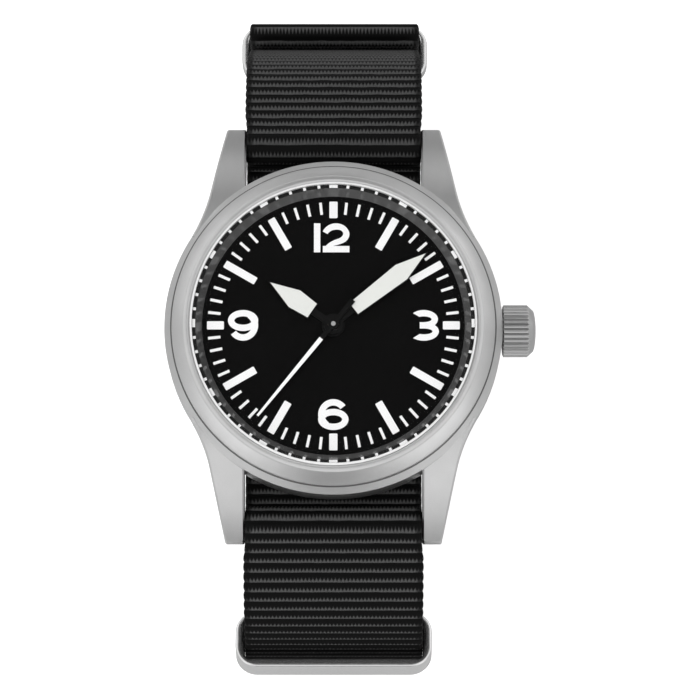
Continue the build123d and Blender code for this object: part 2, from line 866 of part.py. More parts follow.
cannon_module = module_of(minute_wheel_reach, cannon_teeth, minute_wheel_teeth)
hour_module = module_of(minute_wheel_reach, minute_pinion_teeth, hour_wheel_teeth)
centre_module = module_of(third_centre_reach, third_pinion_teeth, centre_wheel_teeth)
third_module = module_of(third_centre_reach, fourth_pinion_teeth, third_wheel_teeth)
fourth_module = module_of(fifth_centre_reach, fifth_pinion_teeth, fourth_wheel_teeth)
fifth_module = module_of(rotor_centre_reach, rotor_pinion_teeth, fifth_wheel_teeth)
setting_distance = cannon_module * (minute_wheel_teeth + setting_wheel_teeth) / 2
setting_wheel_at = (minute_wheel_reach + setting_distance, 0)
hole_radius = pivot_radius + running_gap
battery_at = (battery_x, battery_y)
bearing_block_start = plate_radius - bearing_block_length
coil_level = below_dial(coil_level_drop)
coil_y = -coil_reach
stator_top = below_dial(stator_top_drop)
screw_places = [polar(screw_circle_radius, angle) for angle in screw_angles]


def make_movement_ring():
    """The plastic ring that holds the movement in the case, notched for the stem."""
    ring = collar(movement_ring_outer, movement_ring_inner, below_dial(movement_ring_foot_drop), dial_foot)
    return ring - rod(stem_slot_radius, 0, case_radius, 0, crown_level)


def make_main_plate():
    """The main plate with its pivot holes, the stem's bearing block and the bridge pillars."""
    plate = disc(plate_radius, plate_foot, plate_top)
    block = slab((bearing_block_start, plate_radius + cut_overrun),
                 (-bearing_block_half_width, bearing_block_half_width),
                 (plate_foot - bearing_block_drop, plate_foot))
    plate += block & disc(plate_radius, plate_foot - bearing_block_drop, plate_top)
    plate -= rod(stem_radius + running_gap, 0, case_radius, 0, crown_level)
    for place in bridge_pillars():
        plate += disc(pillar_radius, bridge_top, plate_foot, place)
    plate -= disc(centre_pipe_radius + running_gap, plate_foot - cut_overrun, plate_top + cut_overrun)
    for place in (third_at, fifth_at, rotor_at, minute_wheel_at, setting_wheel_at):
        plate -= disc(hole_radius, plate_foot - cut_overrun, plate_top + cut_overrun, place)
    screw_hole_radius = screw_shank_radius + seat_gap
    for place in screw_places:
        plate -= disc(screw_hole_radius, plate_foot - cut_overrun, plate_top + cut_overrun, place)
    return plate


def bridge_pillars():
    """The places of the pillars between main plate and train bridge."""
    side = bridge_half_width - pillar_radius
    return [(-bridge_left_reach + pillar_radius, -side), (bridge_right_reach - pillar_radius, -side),
            (bridge_right_reach - pillar_radius, side)]


def bridge_outline():
    """The outline of the train bridge with an arm over the rotor."""
    middle = (bridge_right_reach - bridge_left_reach) / 2
    outline = Pos(middle, 0) * Rectangle(bridge_left_reach + bridge_right_reach, 2 * bridge_half_width)
    arm = Pos(rotor_at[0], rotor_at[1] / 2) * Rectangle(2 * stator_arm_width, -rotor_at[1])
    return outline + arm + Pos(*rotor_at) * Circle(stator_arm_width)


def make_train_bridge():
    """The bridge that carries the lower pivots of the train."""
    bridge = extrude(Pos(0, 0, bridge_foot) * bridge_outline(), bridge_thickness)
    for place in ((0, 0), third_at, fifth_at, rotor_at):
        bridge -= disc(hole_radius, bridge_foot - cut_overrun, bridge_top + cut_overrun, place)
    return bridge


def arbor(at):
    """A thin arbor that runs in the plate and the bridge."""
    return disc(arbor_radius, bridge_foot + loose_gap, plate_foot + loose_gap, at)


def make_rotor():
    """The rotor: a round magnet on an arbor with a pinion."""
    magnet_foot = stator_top - rotor_magnet_height
    wheel = disc(rotor_magnet_radius, magnet_foot, stator_top, rotor_at)
    wheel += arbor(rotor_at)
    middle = below_dial(third_wheel_drop) - wheel_thickness / 2
    wheel += toothed(rotor_pinion_teeth, fifth_module, middle - pinion_thickness / 2, magnet_foot,
                     rotor_at, rotor_angle + 180 + 180 / rotor_pinion_teeth)
    return wheel


def make_fifth_wheel():
    """The fifth wheel with its pinion, between rotor and fourth wheel."""
    top = below_dial(third_wheel_drop)
    wheel = toothed(fifth_wheel_teeth, fifth_module, top - wheel_thickness, top, fifth_at, rotor_angle)
    pinion_middle = below_dial(fourth_wheel_drop) - wheel_thickness / 2
    wheel += toothed(fifth_pinion_teeth, fourth_module, pinion_middle - pinion_thickness / 2,
                     top - wheel_thickness, fifth_at,
                     fifth_angle + 180 + 180 / fifth_pinion_teeth)
    return wheel + arbor(fifth_at)


def make_fourth_wheel():
    """The fourth wheel: it turns once a minute and carries the seconds arbor."""
    top = below_dial(fourth_wheel_drop)
    wheel = toothed(fourth_wheel_teeth, fourth_module, top - wheel_thickness, top, turn=fifth_angle)
    pinion_middle = below_dial(third_wheel_drop) - wheel_thickness / 2
    wheel += toothed(fourth_pinion_teeth, third_module, top, pinion_middle + pinion_thickness / 2,
                     turn=third_angle)
    return wheel + disc(seconds_arbor_radius, bridge_foot + loose_gap,
                        above_dial(seconds_hand_rise) + seconds_hand_thickness - seat_gap)


def make_third_wheel():
    """The third wheel with its pinion, between fourth wheel and centre wheel."""
    top = below_dial(third_wheel_drop)
    wheel = toothed(third_wheel_teeth, third_module, top - wheel_thickness, top, third_at,
                    third_angle + 180 + 180 / third_wheel_teeth)
    pinion_middle = below_dial(centre_wheel_drop) - wheel_thickness / 2
    wheel += toothed(third_pinion_teeth, centre_module, top, pinion_middle + pinion_thickness / 4, third_at,
                     third_angle + 180 + 180 / third_pinion_teeth)
    return wheel + arbor(third_at)


def make_centre_wheel():
    """The centre wheel on its pipe, which drives the cannon pinion by friction."""
    top = below_dial(centre_wheel_drop)
    wheel = toothed(centre_wheel_teeth, centre_module, top - wheel_thickness, top, turn=third_angle)
    wheel += disc(centre_pipe_radius, top - wheel_thickness, below_dial(centre_pipe_top_drop))
    return wheel - disc(seconds_arbor_radius + running_gap, top - cut_overrun, dial_level)


def make_cannon_pinion():
    """The cannon pinion, whose pipe carries the minute hand."""
    foot = below_dial(cannon_level_drop) - pinion_thickness
    top = above_dial(minute_hand_rise) + hand_thickness
    pinion = toothed(cannon_teeth, cannon_module, foot, below_dial(cannon_level_drop),
                     turn=180 / cannon_teeth)
    pinion += disc(cannon_outer_radius, below_dial(cannon_level_drop), top)
    pinion -= disc(centre_pipe_radius + seat_gap, foot - cut_overrun,
                   below_dial(centre_pipe_top_drop) + loose_gap)
    return pinion - disc(seconds_arbor_radius + running_gap, foot - cut_overrun, top + cut_overrun)


def make_minute_wheel():
    """The minute wheel with its pinion, under the dial."""
    level = below_dial(cannon_level_drop) - pinion_thickness / 2
    hour_top = below_dial(hour_wheel_drop)
    wheel = toothed(minute_wheel_teeth, cannon_module, level - wheel_thickness / 2,
                    level + wheel_thickness / 2, minute_wheel_at)
    wheel += toothed(minute_pinion_teeth, hour_module, level + wheel_thickness / 2, hour_top,
                     minute_wheel_at, 180 + 180 / minute_pinion_teeth)
    return wheel + disc(arbor_radius, plate_foot + seat_gap, level, minute_wheel_at)


def make_hour_wheel():
    """The hour wheel on its pipe, which carries the hour hand."""
    top = below_dial(hour_wheel_drop)
    wheel = toothed(hour_wheel_teeth, hour_module, top - hour_wheel_thickness, top)
    wheel += disc(hour_pipe_radius, top, above_dial(hour_hand_rise) + hand_thickness)
    return wheel - disc(cannon_outer_radius + running_gap, top - cut_overrun,
                        above_dial(hour_hand_rise + cut_overrun))


def make_setting_wheel():
    """The setting wheel: teeth under the dial and a disc below the plate by the clutch."""
    level = below_dial(cannon_level_drop) - pinion_thickness / 2
    disc_top = below_dial(setting_disc_drop)
    wheel = toothed(setting_wheel_teeth, cannon_module, level - wheel_thickness / 2,
                    level + wheel_thickness / 2, setting_wheel_at, 180 + 180 / setting_wheel_teeth)
    wheel += disc(arbor_radius, disc_top, level, setting_wheel_at)
    return wheel + disc(setting_disc_radius, disc_top - wheel_thickness, disc_top, setting_wheel_at)


def make_stator():
    """The stator plate: a round pole around the magnet and two arms down to the coil core."""
    core_top = coil_level + coil_core_half_width
    pole = Pos(*rotor_at) * Circle(stator_pole_radius)
    left = coil_centre_x - coil_core_half_length
    right = coil_centre_x + coil_core_half_length
    cross = Pos((left + right) / 2, rotor_at[1]) * Rectangle(right - left, stator_arm_width)
    arms = Sketch()
    for x in (left + stator_arm_width / 2, right - stator_arm_width / 2):
        arms += Pos(x, (rotor_at[1] + coil_y) / 2) * Rectangle(stator_arm_width, rotor_at[1] - coil_y)
    sheet = pole + cross + arms - Pos(*rotor_at) * Circle(stator_hole_radius)
    stator = extrude(Pos(0, 0, stator_top - stator_thickness) * sheet, stator_thickness)
    for x in (left + stator_arm_width / 2, right - stator_arm_width / 2):
        foot = slab((x - stator_arm_width / 2, x + stator_arm_width / 2),
                    (coil_y - coil_core_half_width, coil_y + coil_core_half_width),
                    (core_top, stator_top - stator_thickness))
        stator += foot
    return stator


def make_coil_core():
    """The soft iron core through the coil."""
    return slab((coil_centre_x - coil_core_half_length, coil_centre_x + coil_core_half_length),
                (coil_y - coil_core_half_width, coil_y + coil_core_half_width),
                (coil_level - coil_core_half_width, coil_level + coil_core_half_width))


def make_coil():
    """The coil winding on its core, drawn as one round body."""
    winding = rod(coil_radius, coil_centre_x - coil_half_length, coil_centre_x + coil_half_length,
                  coil_y, coil_level)
    grown = coil_core_half_width + seat_gap
    core = slab((coil_centre_x - coil_core_half_length, coil_centre_x + coil_core_half_length),
                (coil_y - grown, coil_y + grown), (coil_level - grown, coil_level + grown))
    return winding - core


# Movement: electric parts, setting work and screws

board_top = plate_foot - seat_gap
board_foot = board_top - board_thickness


def make_board():
    """The circuit board: an arc-shaped sheet under the main plate."""
    middle = Pos((board_inner_radius + board_outer_radius) / 2, (board_top + board_foot) / 2)
    section = Plane.XZ * middle * Rectangle(board_outer_radius - board_inner_radius, board_thickness)
    return Rot(0, 0, board_start_angle) * revolve(section, Axis.Z, board_sweep)


def make_chip():
    """The control chip on the board."""
    x, y = polar(electric_reach, chip_angle)
    top = board_foot - seat_gap
    return Pos(x, y, top - chip_height / 2) * Rot(0, 0, chip_angle) * Box(chip_size, chip_size, chip_height)


def make_quartz_can():
    """The quartz crystal in its round can, lying on the board."""
    x, y = polar(electric_reach, quartz_angle)
    level = board_foot - seat_gap - quartz_radius
    can = Cylinder(quartz_radius, quartz_length)
    return Pos(x, y, level) * Rot(0, 0, quartz_angle) * Rot(90, 0, 0) * can


def make_battery():
    """The round battery with its stepped negative cap."""
    top = below_dial(battery_top_drop)
    step = battery_height / 8
    cell = disc(battery_radius, top - battery_height, top - step, battery_at)
    return cell + disc(battery_radius - 2 * step, top - step, top, battery_at)


def make_battery_clamp():
    """The spring-steel clamp that presses the battery up against the plate."""
    top = below_dial(battery_top_drop) - battery_height - seat_gap
    arm_end = battery_x + battery_radius + clamp_width / 2 + loose_gap
    across = (battery_y - clamp_width / 2, battery_y + clamp_width / 2)
    strip = slab((battery_x - battery_radius, arm_end), across, (top - clamp_thickness, top))
    leg = slab((arm_end - clamp_width / 3, arm_end), across,
               (top - clamp_thickness, plate_foot - seat_gap))
    return strip + leg


clutch_end = clutch_start_x - clutch_length


def make_clutch():
    """The clutch pinion that slides along the stem."""
    body = toothed(clutch_teeth, 2 * clutch_radius / clutch_teeth, 0, clutch_length)
    groove = collar(clutch_radius * 2, clutch_radius * 3 / 4, clutch_length * 2 / 5, clutch_length * 3 / 5)
    body = body - groove - disc(stem_radius + running_gap, -cut_overrun, clutch_length + cut_overrun)
    return crown_plane * Pos(0, 0, clutch_end) * body


def make_lever(pivot, reach, width, level, angle):
    """A flat lever with a round pivot end and a rounded tip."""
    tip = polar(reach, angle, pivot)
    sheet = Pos(*pivot) * Circle(width * 3 / 4) + Pos(*tip) * Circle(width / 2)
    middle = ((pivot[0] + tip[0]) / 2, (pivot[1] + tip[1]) / 2)
    sheet += Pos(*middle) * Rot(0, 0, angle) * Rectangle(reach, width)
    sheet -= Pos(*pivot) * Circle(screw_shank_radius + running_gap)
    return extrude(Pos(0, 0, level - lever_thickness) * sheet, lever_thickness)


lever_pivot = (lever_pivot_x, lever_pivot_y)
yoke_pivot = (yoke_pivot_x, yoke_pivot_y)
lever_level = below_dial(lever_level_drop)
yoke_level = below_dial(yoke_level_drop)


def make_setting_spring():
    """The flat spring that holds the setting lever in its two places."""
    start = lever_pivot_x - setting_spring_length - lever_width
    top = plate_foot - seat_gap
    foot = slab((start, start + 2 * setting_spring_width), (lever_pivot_y - lever_width, lever_pivot_y),
                (lever_level - lever_thickness, top))
    arm = slab((start, start + setting_spring_length),
               (lever_pivot_y - lever_width, lever_pivot_y - lever_width / 2),
               (lever_level - lever_thickness, lever_level))
    return foot + arm


def make_pivot_screw(place, level):
    """A shouldered screw that a lever turns on."""
    head_top = level - lever_thickness - seat_gap
    screw = disc(screw_head_radius, head_top - screw_head_height, head_top, place)
    return screw + disc(screw_shank_radius, head_top, plate_foot - seat_gap, place)


def make_plate_screw(place):
    """A slotted screw through the rim of the main plate."""
    head_top = plate_foot - seat_gap
    screw = disc(screw_head_radius, head_top - screw_head_height, head_top, place)
    screw += disc(screw_shank_radius, head_top, head_top + screw_shank_length, place)
    slot = slab((place[0] - screw_head_radius, place[0] + screw_head_radius),
                (place[1] - screw_slot_width / 2, place[1] + screw_slot_width / 2),
                (head_top - screw_head_height - cut_overrun, head_top - screw_head_height * 2 / 3))
    return screw - slot


# Spring bars

collar_end = lug_gap / 2 - plunger_lug_gap
collar_start = collar_end - plunger_collar_length
bar_tube_half_length = collar_start - plunger_travel - loose_gap / 4


def make_bar_tube(y):
    """The tube of a spring bar."""
    tube = rod(bar_tube_radius, -bar_tube_half_length, bar_tube_half_length, y, bar_level)
    return tube - rod(bar_tube_bore, -case_radius, case_radius, y, bar_level)


def make_bar_spring(y):
    """The coil spring inside a spring bar, drawn as a thin sleeve at its pressed length."""
    outer = bar_spring_radius + bar_spring_wire_radius
    inner = bar_spring_radius - bar_spring_wire_radius
    sleeve = rod(outer, -bar_spring_half_length, bar_spring_half_length, y, bar_level)
    return sleeve - rod(inner, -case_radius, case_radius, y, bar_level)


def make_plunger(side, y):
    """One plunger: a stem in the tube, a collar to push back and a tip in the lug."""
    stem_start = collar_start - plunger_stem_length - plunger_travel
    tip_end = lug_gap / 2 + plunger_tip_length
    plunger = rod(plunger_stem_radius, stem_start, collar_start, y, bar_level)
    plunger += rod(plunger_collar_radius, collar_start, collar_end, y, bar_level)
    plunger += rod(plunger_tip_radius, collar_end, tip_end, y, bar_level)
    return plunger if side > 0 else mirror(plunger, Plane.YZ)


# Webbing strap, drawn as a path in Y and Z

half_strap = strap_thickness / 2
strap_half_width = strap_width / 2
layer_pitch = strap_thickness + layer_gap
keeper_pitch = strap_thickness + ring_band_thickness + 2 * layer_gap
wrap_radius = bar_tube_radius + strap_bar_gap + half_strap
fold_radius = hinge_bar_radius + strap_bar_gap + half_strap
under_case_level = back_foot - layer_gap - half_strap
riser_reach = bar_reach - wrap_radius
wrap_top = bar_level + wrap_radius
hinge_level = above_rest(hinge_height)
tongue_rest_level = above_rest(tongue_rest_height)
bottom_level = above_rest(frame_height + layer_gap + half_strap)
fold_top_level = hinge_level + fold_radius
fold_foot_level = hinge_level - fold_radius
outer_tail_level = fold_foot_level - layer_pitch
sewn_level = fold_top_level - layer_pitch


def leaving_point():
    """Where the strap leaves its wrap round a spring bar, on the 12 o'clock side."""
    return polar(wrap_radius, 90 - shoulder_slope, (bar_reach, bar_level))


fall_point = (fall_reach, below_dial(fall_drop))
twelve_shoulder = meet(leaving_point(), -shoulder_slope, fall_point, -twelve_fall_slope)
six_shoulder = meet(leaving_point(), -shoulder_slope, fall_point, -six_fall_slope)
twelve_side = meet(twelve_shoulder, -twelve_fall_slope, (twelve_side_reach, 0), 90)
six_side = meet(six_shoulder, -six_fall_slope, (six_side_reach, 0), 90)
wrap_corner = (riser_reach, wrap_top)
wrap_exit = meet((0, wrap_top), 0, leaving_point(), -shoulder_slope)
wrap_bend = wrap_radius - seat_gap
fold_bend = fold_radius - seat_gap
turn_bend = layer_pitch / 2 - seat_gap


def strap_path():
    """The long strap from the sewn fold at the buckle, round the wrist, to the folded tail."""
    tail_reach = twelve_side_reach + layer_pitch
    fold_reach = tail_reach + layer_pitch
    rise_start_y = hinge_y + fold_rise_start_length
    points = [
        ((hinge_y + strap_fold_length, sewn_level), 0),
        ((rise_start_y + fold_rise_length, sewn_level), fold_rise_bend),
        ((rise_start_y, fold_foot_level), fold_rise_bend),
        ((hinge_y - fold_radius, fold_foot_level), fold_bend),
        ((hinge_y - fold_radius, fold_top_level), fold_bend),
        ((twelve_side_reach, fold_top_level), twelve_bottom_bend),
        (twelve_side, twelve_side_bend),
        (twelve_shoulder, fall_bend),
        (wrap_exit, wrap_bend),
        (wrap_corner, wrap_bend),
        ((riser_reach, under_case_level), strap_under_case_bend),
        ((-riser_reach, under_case_level), strap_under_case_bend),
        ((-wrap_corner[0], wrap_corner[1]), wrap_bend),
        ((-wrap_exit[0], wrap_exit[1]), wrap_bend),
        ((-six_shoulder[0], six_shoulder[1]), fall_bend),
        ((-six_side[0], six_side[1]), six_side_bend),
        ((-six_bottom_reach, bottom_level), six_bottom_bend),
        ((buckle_step_start_y, bottom_level), buckle_step_bend),
        ((buckle_step_end_y, outer_tail_level), buckle_step_bend),
        ((tail_rise_start_y, outer_tail_level), tail_rise_bend),
        ((tail_rise_end_y, above_rest(tail_lift_height)), tail_rise_bend),
        ((tail_reach, above_rest(tail_lift_height)), tail_bottom_bend),
        ((tail_reach, above_rest(tail_fold_height)), turn_bend),
        ((fold_reach, above_rest(tail_fold_height)), turn_bend),
        ((fold_reach, above_rest(tail_end_height)), 0),
    ]
    places = [point for point, bend in points]
    bends = [bend for point, bend in points[1:-1]]
    return places, bends


def buckle_step_slope():
    """The downward angle of the strap where the tongue passes through it."""
    return degrees(atan2(bottom_level - outer_tail_level, buckle_step_end_y - buckle_step_start_y))


def tongue_slope():
    """The downward angle of the tongue towards 6 o'clock where it passes through the strap."""
    return degrees(atan2(hinge_level - tongue_rest_level, tongue_bend_start_y - tongue_bend_end_y))


tongue_hole_at = meet((buckle_step_start_y, bottom_level), -buckle_step_slope(),
                      (tongue_bend_end_y, tongue_rest_level), tongue_slope())


def make_strap():
    """The long strap with its slit for the tongue, the used hole and the spare holes."""
    places, bends = strap_path()
    strap = band(places, bends, strap_thickness, strap_half_width)
    slit_half = tongue_width / 2 + tongue_slit_gap
    hole_reach = half_strap + layer_gap / 2
    strap -= slab((-slit_half, slit_half),
                  (hinge_y - fold_radius - strap_thickness, hinge_y + tongue_slit_reach),
                  (fold_foot_level - hole_reach, fold_top_level + hole_reach))
    hole = Pos(0, tongue_hole_at[0], tongue_hole_at[1]) * Rot(-buckle_step_slope(), 0, 0) * extrude(
        SlotOverall(tongue_hole_length, tongue_hole_width, rotation=90), strap_thickness, both=True)
    strap -= hole
    for number in (-3, -2, 1, 2):
        level = bottom_level if number < 0 else outer_tail_level
        strap -= disc(strap_hole_radius, level - hole_reach, level + hole_reach,
                      (0, tongue_hole_at[0] + number * strap_hole_pitch))
    return strap


# Slide ring at 6 o'clock: its place follows the strap, in its own leaning axes

lean = radians(slide_ring_lean)
ring_out = (-cos(lean), -sin(lean))
ring_down = (sin(lean), -cos(lean))
ring_centre_offset = (ring_length - ring_band_thickness) / 2
slide_ring_on_strap = (-six_shoulder[0] - slide_ring_down_length * cos(radians(six_fall_slope)),
                       six_shoulder[1] - slide_ring_down_length * sin(radians(six_fall_slope)))


def slide_ring_point(outward, downward):
    """A point in Y and Z, measured from the held bar of the slide ring."""
    held_y = slide_ring_on_strap[0] - ring_out[0] * slide_ring_strap_gap
    held_z = slide_ring_on_strap[1] - ring_out[1] * slide_ring_strap_gap
    return (held_y + ring_out[0] * outward + ring_down[0] * downward,
            held_z + ring_out[1] * outward + ring_down[1] * downward)


def make_ring():
    """One flat-band ring about the origin: its long sides run along X and its axis along Z."""
    outer = RectangleRounded(ring_width, ring_length, ring_outer_corner)
    inner = RectangleRounded(ring_width - 2 * ring_band_thickness, ring_length - 2 * ring_band_thickness,
                             ring_inner_corner)
    ring = extrude(Pos(0, 0, -ring_height / 2) * (outer - inner), ring_height)
    rims = ring.faces().sort_by(Axis.Z)
    outside = rims[0].outer_wire().edges() + rims[-1].outer_wire().edges()
    return chamfer(outside, ring_edge_break)


def make_slide_ring():
    """The ring at 6 o'clock, held at one bar by the loop of the under-strap."""
    y, z = slide_ring_point(ring_centre_offset, 0)
    return Pos(0, y, z) * Rot(slide_ring_lean, 0, 0) * make_ring()


def make_upper_keeper():
    """The keeper on the side of the strap, in view at 12 o'clock."""
    y = twelve_side_reach - half_strap - layer_gap - ring_band_thickness + ring_length / 2
    return Pos(0, y, above_rest(upper_keeper_height)) * make_ring()


def make_lower_keeper():
    """The keeper beside the buckle."""
    z = fold_top_level + half_strap + layer_gap + ring_band_thickness - ring_length / 2
    return Pos(0, lower_keeper_y, z) * Rot(90, 0, 0) * make_ring()


def make_under_strap():
    """The under-strap from the buckle fold to its sewn loop round the slide ring."""
    side = twelve_side_reach - keeper_pitch
    side_inner = (side, 0)
    under_level = under_case_level - layer_pitch
    fall_shift = (twelve_shoulder[0] - keeper_pitch * sin(radians(twelve_fall_slope)),
                  twelve_shoulder[1] - keeper_pitch * cos(radians(twelve_fall_slope)))
    side_corner = meet(fall_shift, -twelve_fall_slope, side_inner, 90)
    entry = meet(fall_shift, -twelve_fall_slope, (0, under_level), 0)
    start_level = fold_top_level + layer_pitch
    keeper_level = fold_top_level + keeper_pitch
    loop_side = ring_band_thickness / 2 + strap_bar_gap + half_strap
    loop_top = ring_height / 2 + strap_bar_gap + half_strap
    outer_top = slide_ring_point(loop_side, -loop_top)
    outer_foot = slide_ring_point(loop_side, loop_top)
    inner_foot = slide_ring_point(-loop_side, loop_top)
    exit_corner = (-under_exit_reach, under_level)
    exit_angle = degrees(atan2(under_level - outer_top[1], exit_corner[0] - outer_top[0]))
    inner_line = (outer_top[0] + layer_pitch * sin(radians(exit_angle)),
                  outer_top[1] - layer_pitch * cos(radians(exit_angle)))
    inner_top = meet(inner_line, exit_angle, inner_foot, 90 + slide_ring_lean)
    end = polar(loop_length, exit_angle, inner_top)
    points = [
        ((under_start_y, start_level), 0),
        ((under_spread_start_y, start_level), twelve_bottom_bend),
        ((under_spread_end_y, keeper_level), twelve_bottom_bend),
        ((side, keeper_level), twelve_bottom_bend - keeper_pitch),
        (side_corner, twelve_side_bend - keeper_pitch),
        (entry, under_entry_bend),
        (exit_corner, under_exit_bend),
        (outer_top, loop_return_bend),
        (outer_foot, loop_side - seat_gap),
        (inner_foot, loop_side - seat_gap),
        (inner_top, half_strap + seat_gap),
        (end, 0),
    ]
    places = [point for point, bend in points]
    bends = [bend for point, bend in points[1:-1]]
    return band(places, bends, strap_thickness, strap_half_width)


# Buckle

frame_inner = strap_half_width + frame_inner_gap
frame_outer = frame_inner + frame_arm_width


def make_frame():
    """The buckle frame: a flat crossbar and arms, raised ears and the hinge bar."""
    end = hinge_y + ear_radius
    length = end - frame_crossbar_start_y
    crossbar_end = frame_crossbar_start_y + frame_crossbar_width
    outline = RectangleRounded(2 * frame_outer, length, frame_corner)
    window = slab((-frame_inner, frame_inner), (crossbar_end, end + cut_overrun),
                  (rest_level - cut_overrun, hinge_level + ear_radius + cut_overrun))
    plate = extrude(Pos(0, frame_crossbar_start_y + length / 2, rest_level) * outline, frame_height)
    ear = slab((-frame_outer, frame_outer), (hinge_y - ear_radius, hinge_y + ear_radius),
               (rest_level, hinge_level))
    ear += rod(ear_radius, -frame_outer, frame_outer, hinge_y, hinge_level)
    frame = (plate + ear) - window
    frame += rod(hinge_bar_radius, -frame_outer, frame_outer, hinge_y, hinge_level)
    notch_half = tongue_width / 2 + tongue_notch_gap
    notch = slab((-notch_half, notch_half),
                 (frame_crossbar_start_y - cut_overrun, crossbar_end + cut_overrun),
                 (rest_level - cut_overrun, above_rest(tongue_notch_depth)))
    return frame - notch


def make_tongue():
    """The tongue: a ring on the hinge bar and a bent shank that rests in the crossbar notch."""
    ring_radius = hinge_bar_radius + running_gap + tongue_ring_thickness
    half_width = tongue_width / 2
    points = [
        (hinge_y - hinge_bar_radius - tongue_ring_thickness / 2, hinge_level),
        (tongue_bend_start_y, hinge_level),
        (tongue_bend_end_y, tongue_rest_level),
        (tongue_tip_y, tongue_rest_level),
    ]
    shank = band(points, [tongue_bend, tongue_bend], tongue_thickness, half_width)
    tongue = shank + rod(ring_radius, -half_width, half_width, hinge_y, hinge_level)
    return tongue - rod(hinge_bar_radius + running_gap, -strap_width, strap_width, hinge_y, hinge_level)


os.makedirs("parts", exist_ok=True)

save("case_middle", make_case())
save("bezel", make_bezel())
save("crystal", make_crystal())
save("crystal_gasket", collar(bezel_bore_radius - seat_gap, crystal_radius + seat_gap,
                              above_dial(crystal_gasket_foot_height),
                              above_dial(crystal_gasket_foot_height + crystal_gasket_height)))
save("case_back", make_case_back())
save("case_back_gasket", collar(back_bore_radius + back_gasket_width, back_bore_radius + seat_gap,
                                case_foot, case_foot + back_gasket_height))
save("crown_tube", make_crown_tube())
save("crown", make_crown())
save("crown_gasket", make_crown_gasket())
save("winding_stem", make_stem())

save("dial", collar(dial_seat_radius - running_gap, dial_hole_radius, dial_foot, dial_level))
save("dial_markers", *make_dial_markers())
save("flange_ring", make_flange())
save("flange_marks", *make_flange_marks())

hour_blade = (hour_lume_start_y, hour_lume_start_width, hour_hand_point_length, hour_hand_width,
              hour_hand_reach)
minute_blade = (minute_lume_start_y, minute_lume_start_width, minute_hand_point_length,
                minute_hand_width, minute_hand_reach)
save("hour_hand", make_hand(hour_hand_rise, hour_hand_angle, hour_hand_boss_radius,
                            hour_pipe_radius + seat_gap, hour_hand_stem_width, blade(*hour_blade, 0)))
save("hour_hand_lume", make_lume(hour_hand_rise, hour_hand_angle, blade(*hour_blade, lume_border)))
save("minute_hand", make_hand(minute_hand_rise, minute_hand_angle, minute_hand_boss_radius,
                              cannon_outer_radius + seat_gap, minute_hand_stem_width,
                              blade(*minute_blade, 0)))
save("minute_hand_lume", make_lume(minute_hand_rise, minute_hand_angle, blade(*minute_blade, lume_border)))
save("seconds_hand", make_seconds_hand())
save("seconds_hand_lume", make_seconds_lume())

save("movement_ring", make_movement_ring())
save("main_plate", make_main_plate())
save("train_bridge", make_train_bridge())
save("stator", make_stator())
save("coil_core", make_coil_core())
save("coil", make_coil())
save("rotor", make_rotor())
save("fifth_wheel", make_fifth_wheel())
save("fourth_wheel", make_fourth_wheel())
save("third_wheel", make_third_wheel())
save("centre_wheel", make_centre_wheel())
save("cannon_pinion", make_cannon_pinion())
save("minute_wheel", make_minute_wheel())
save("hour_wheel", make_hour_wheel())
save("dial_washer", collar(washer_outer_radius, hour_pipe_radius + running_gap,
                           dial_foot - seat_gap - washer_thickness, dial_foot - seat_gap))
save("setting_wheel", make_setting_wheel())
save("circuit_board", make_board())
save("control_chip", make_chip())
save("quartz_can", make_quartz_can())
save("battery", make_battery())
save("battery_clamp", make_battery_clamp())
save("clutch_pinion", make_clutch())
save("setting_lever", make_lever(lever_pivot, lever_reach, lever_width, lever_level, lever_angle))
save("yoke", make_lever(yoke_pivot, yoke_reach, yoke_width, yoke_level, yoke_angle))
save("setting_spring", make_setting_spring())
save("movement_screws", make_pivot_screw(lever_pivot, lever_level),
     make_pivot_screw(yoke_pivot, yoke_level), *[make_plate_screw(place) for place in screw_places])

save("spring_bar_tubes", make_bar_tube(bar_reach), make_bar_tube(-bar_reach))
save("spring_bar_springs", make_bar_spring(bar_reach), make_bar_spring(-bar_reach))
for hour, y in (("12", bar_reach), ("6", -bar_reach)):
    save(f"plunger_{hour}_right", make_plunger(1, y))
    save(f"plunger_{hour}_left", make_plunger(-1, y))

save("strap_main", make_strap())
save("strap_under", make_under_strap())
save("slide_ring", make_slide_ring())
save("keeper_ring_upper", make_upper_keeper())
save("keeper_ring_lower", make_lower_keeper())
save("buckle_frame", make_frame())
save("buckle_tongue", make_tongue())
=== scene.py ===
import math

import bmesh
import bpy
from mathutils import Matrix, Vector


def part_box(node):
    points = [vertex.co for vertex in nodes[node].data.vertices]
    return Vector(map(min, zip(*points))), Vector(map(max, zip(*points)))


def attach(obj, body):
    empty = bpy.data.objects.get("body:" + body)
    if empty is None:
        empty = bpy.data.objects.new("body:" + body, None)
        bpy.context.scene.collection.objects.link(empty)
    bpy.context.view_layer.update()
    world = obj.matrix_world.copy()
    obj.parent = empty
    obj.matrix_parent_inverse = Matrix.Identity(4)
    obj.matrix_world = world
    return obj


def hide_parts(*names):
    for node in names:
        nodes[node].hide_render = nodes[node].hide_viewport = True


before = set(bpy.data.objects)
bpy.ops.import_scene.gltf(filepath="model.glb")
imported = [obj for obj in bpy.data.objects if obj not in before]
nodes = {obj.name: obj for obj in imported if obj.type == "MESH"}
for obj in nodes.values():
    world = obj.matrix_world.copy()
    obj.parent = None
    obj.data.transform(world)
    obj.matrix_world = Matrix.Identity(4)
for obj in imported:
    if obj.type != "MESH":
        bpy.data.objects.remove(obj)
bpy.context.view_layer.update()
head = "watch_head_and_strap"


# Case middle: one steel forging with four lugs, turned and milled,
# then blasted with glass beads to an even, fine-grained matt grey.

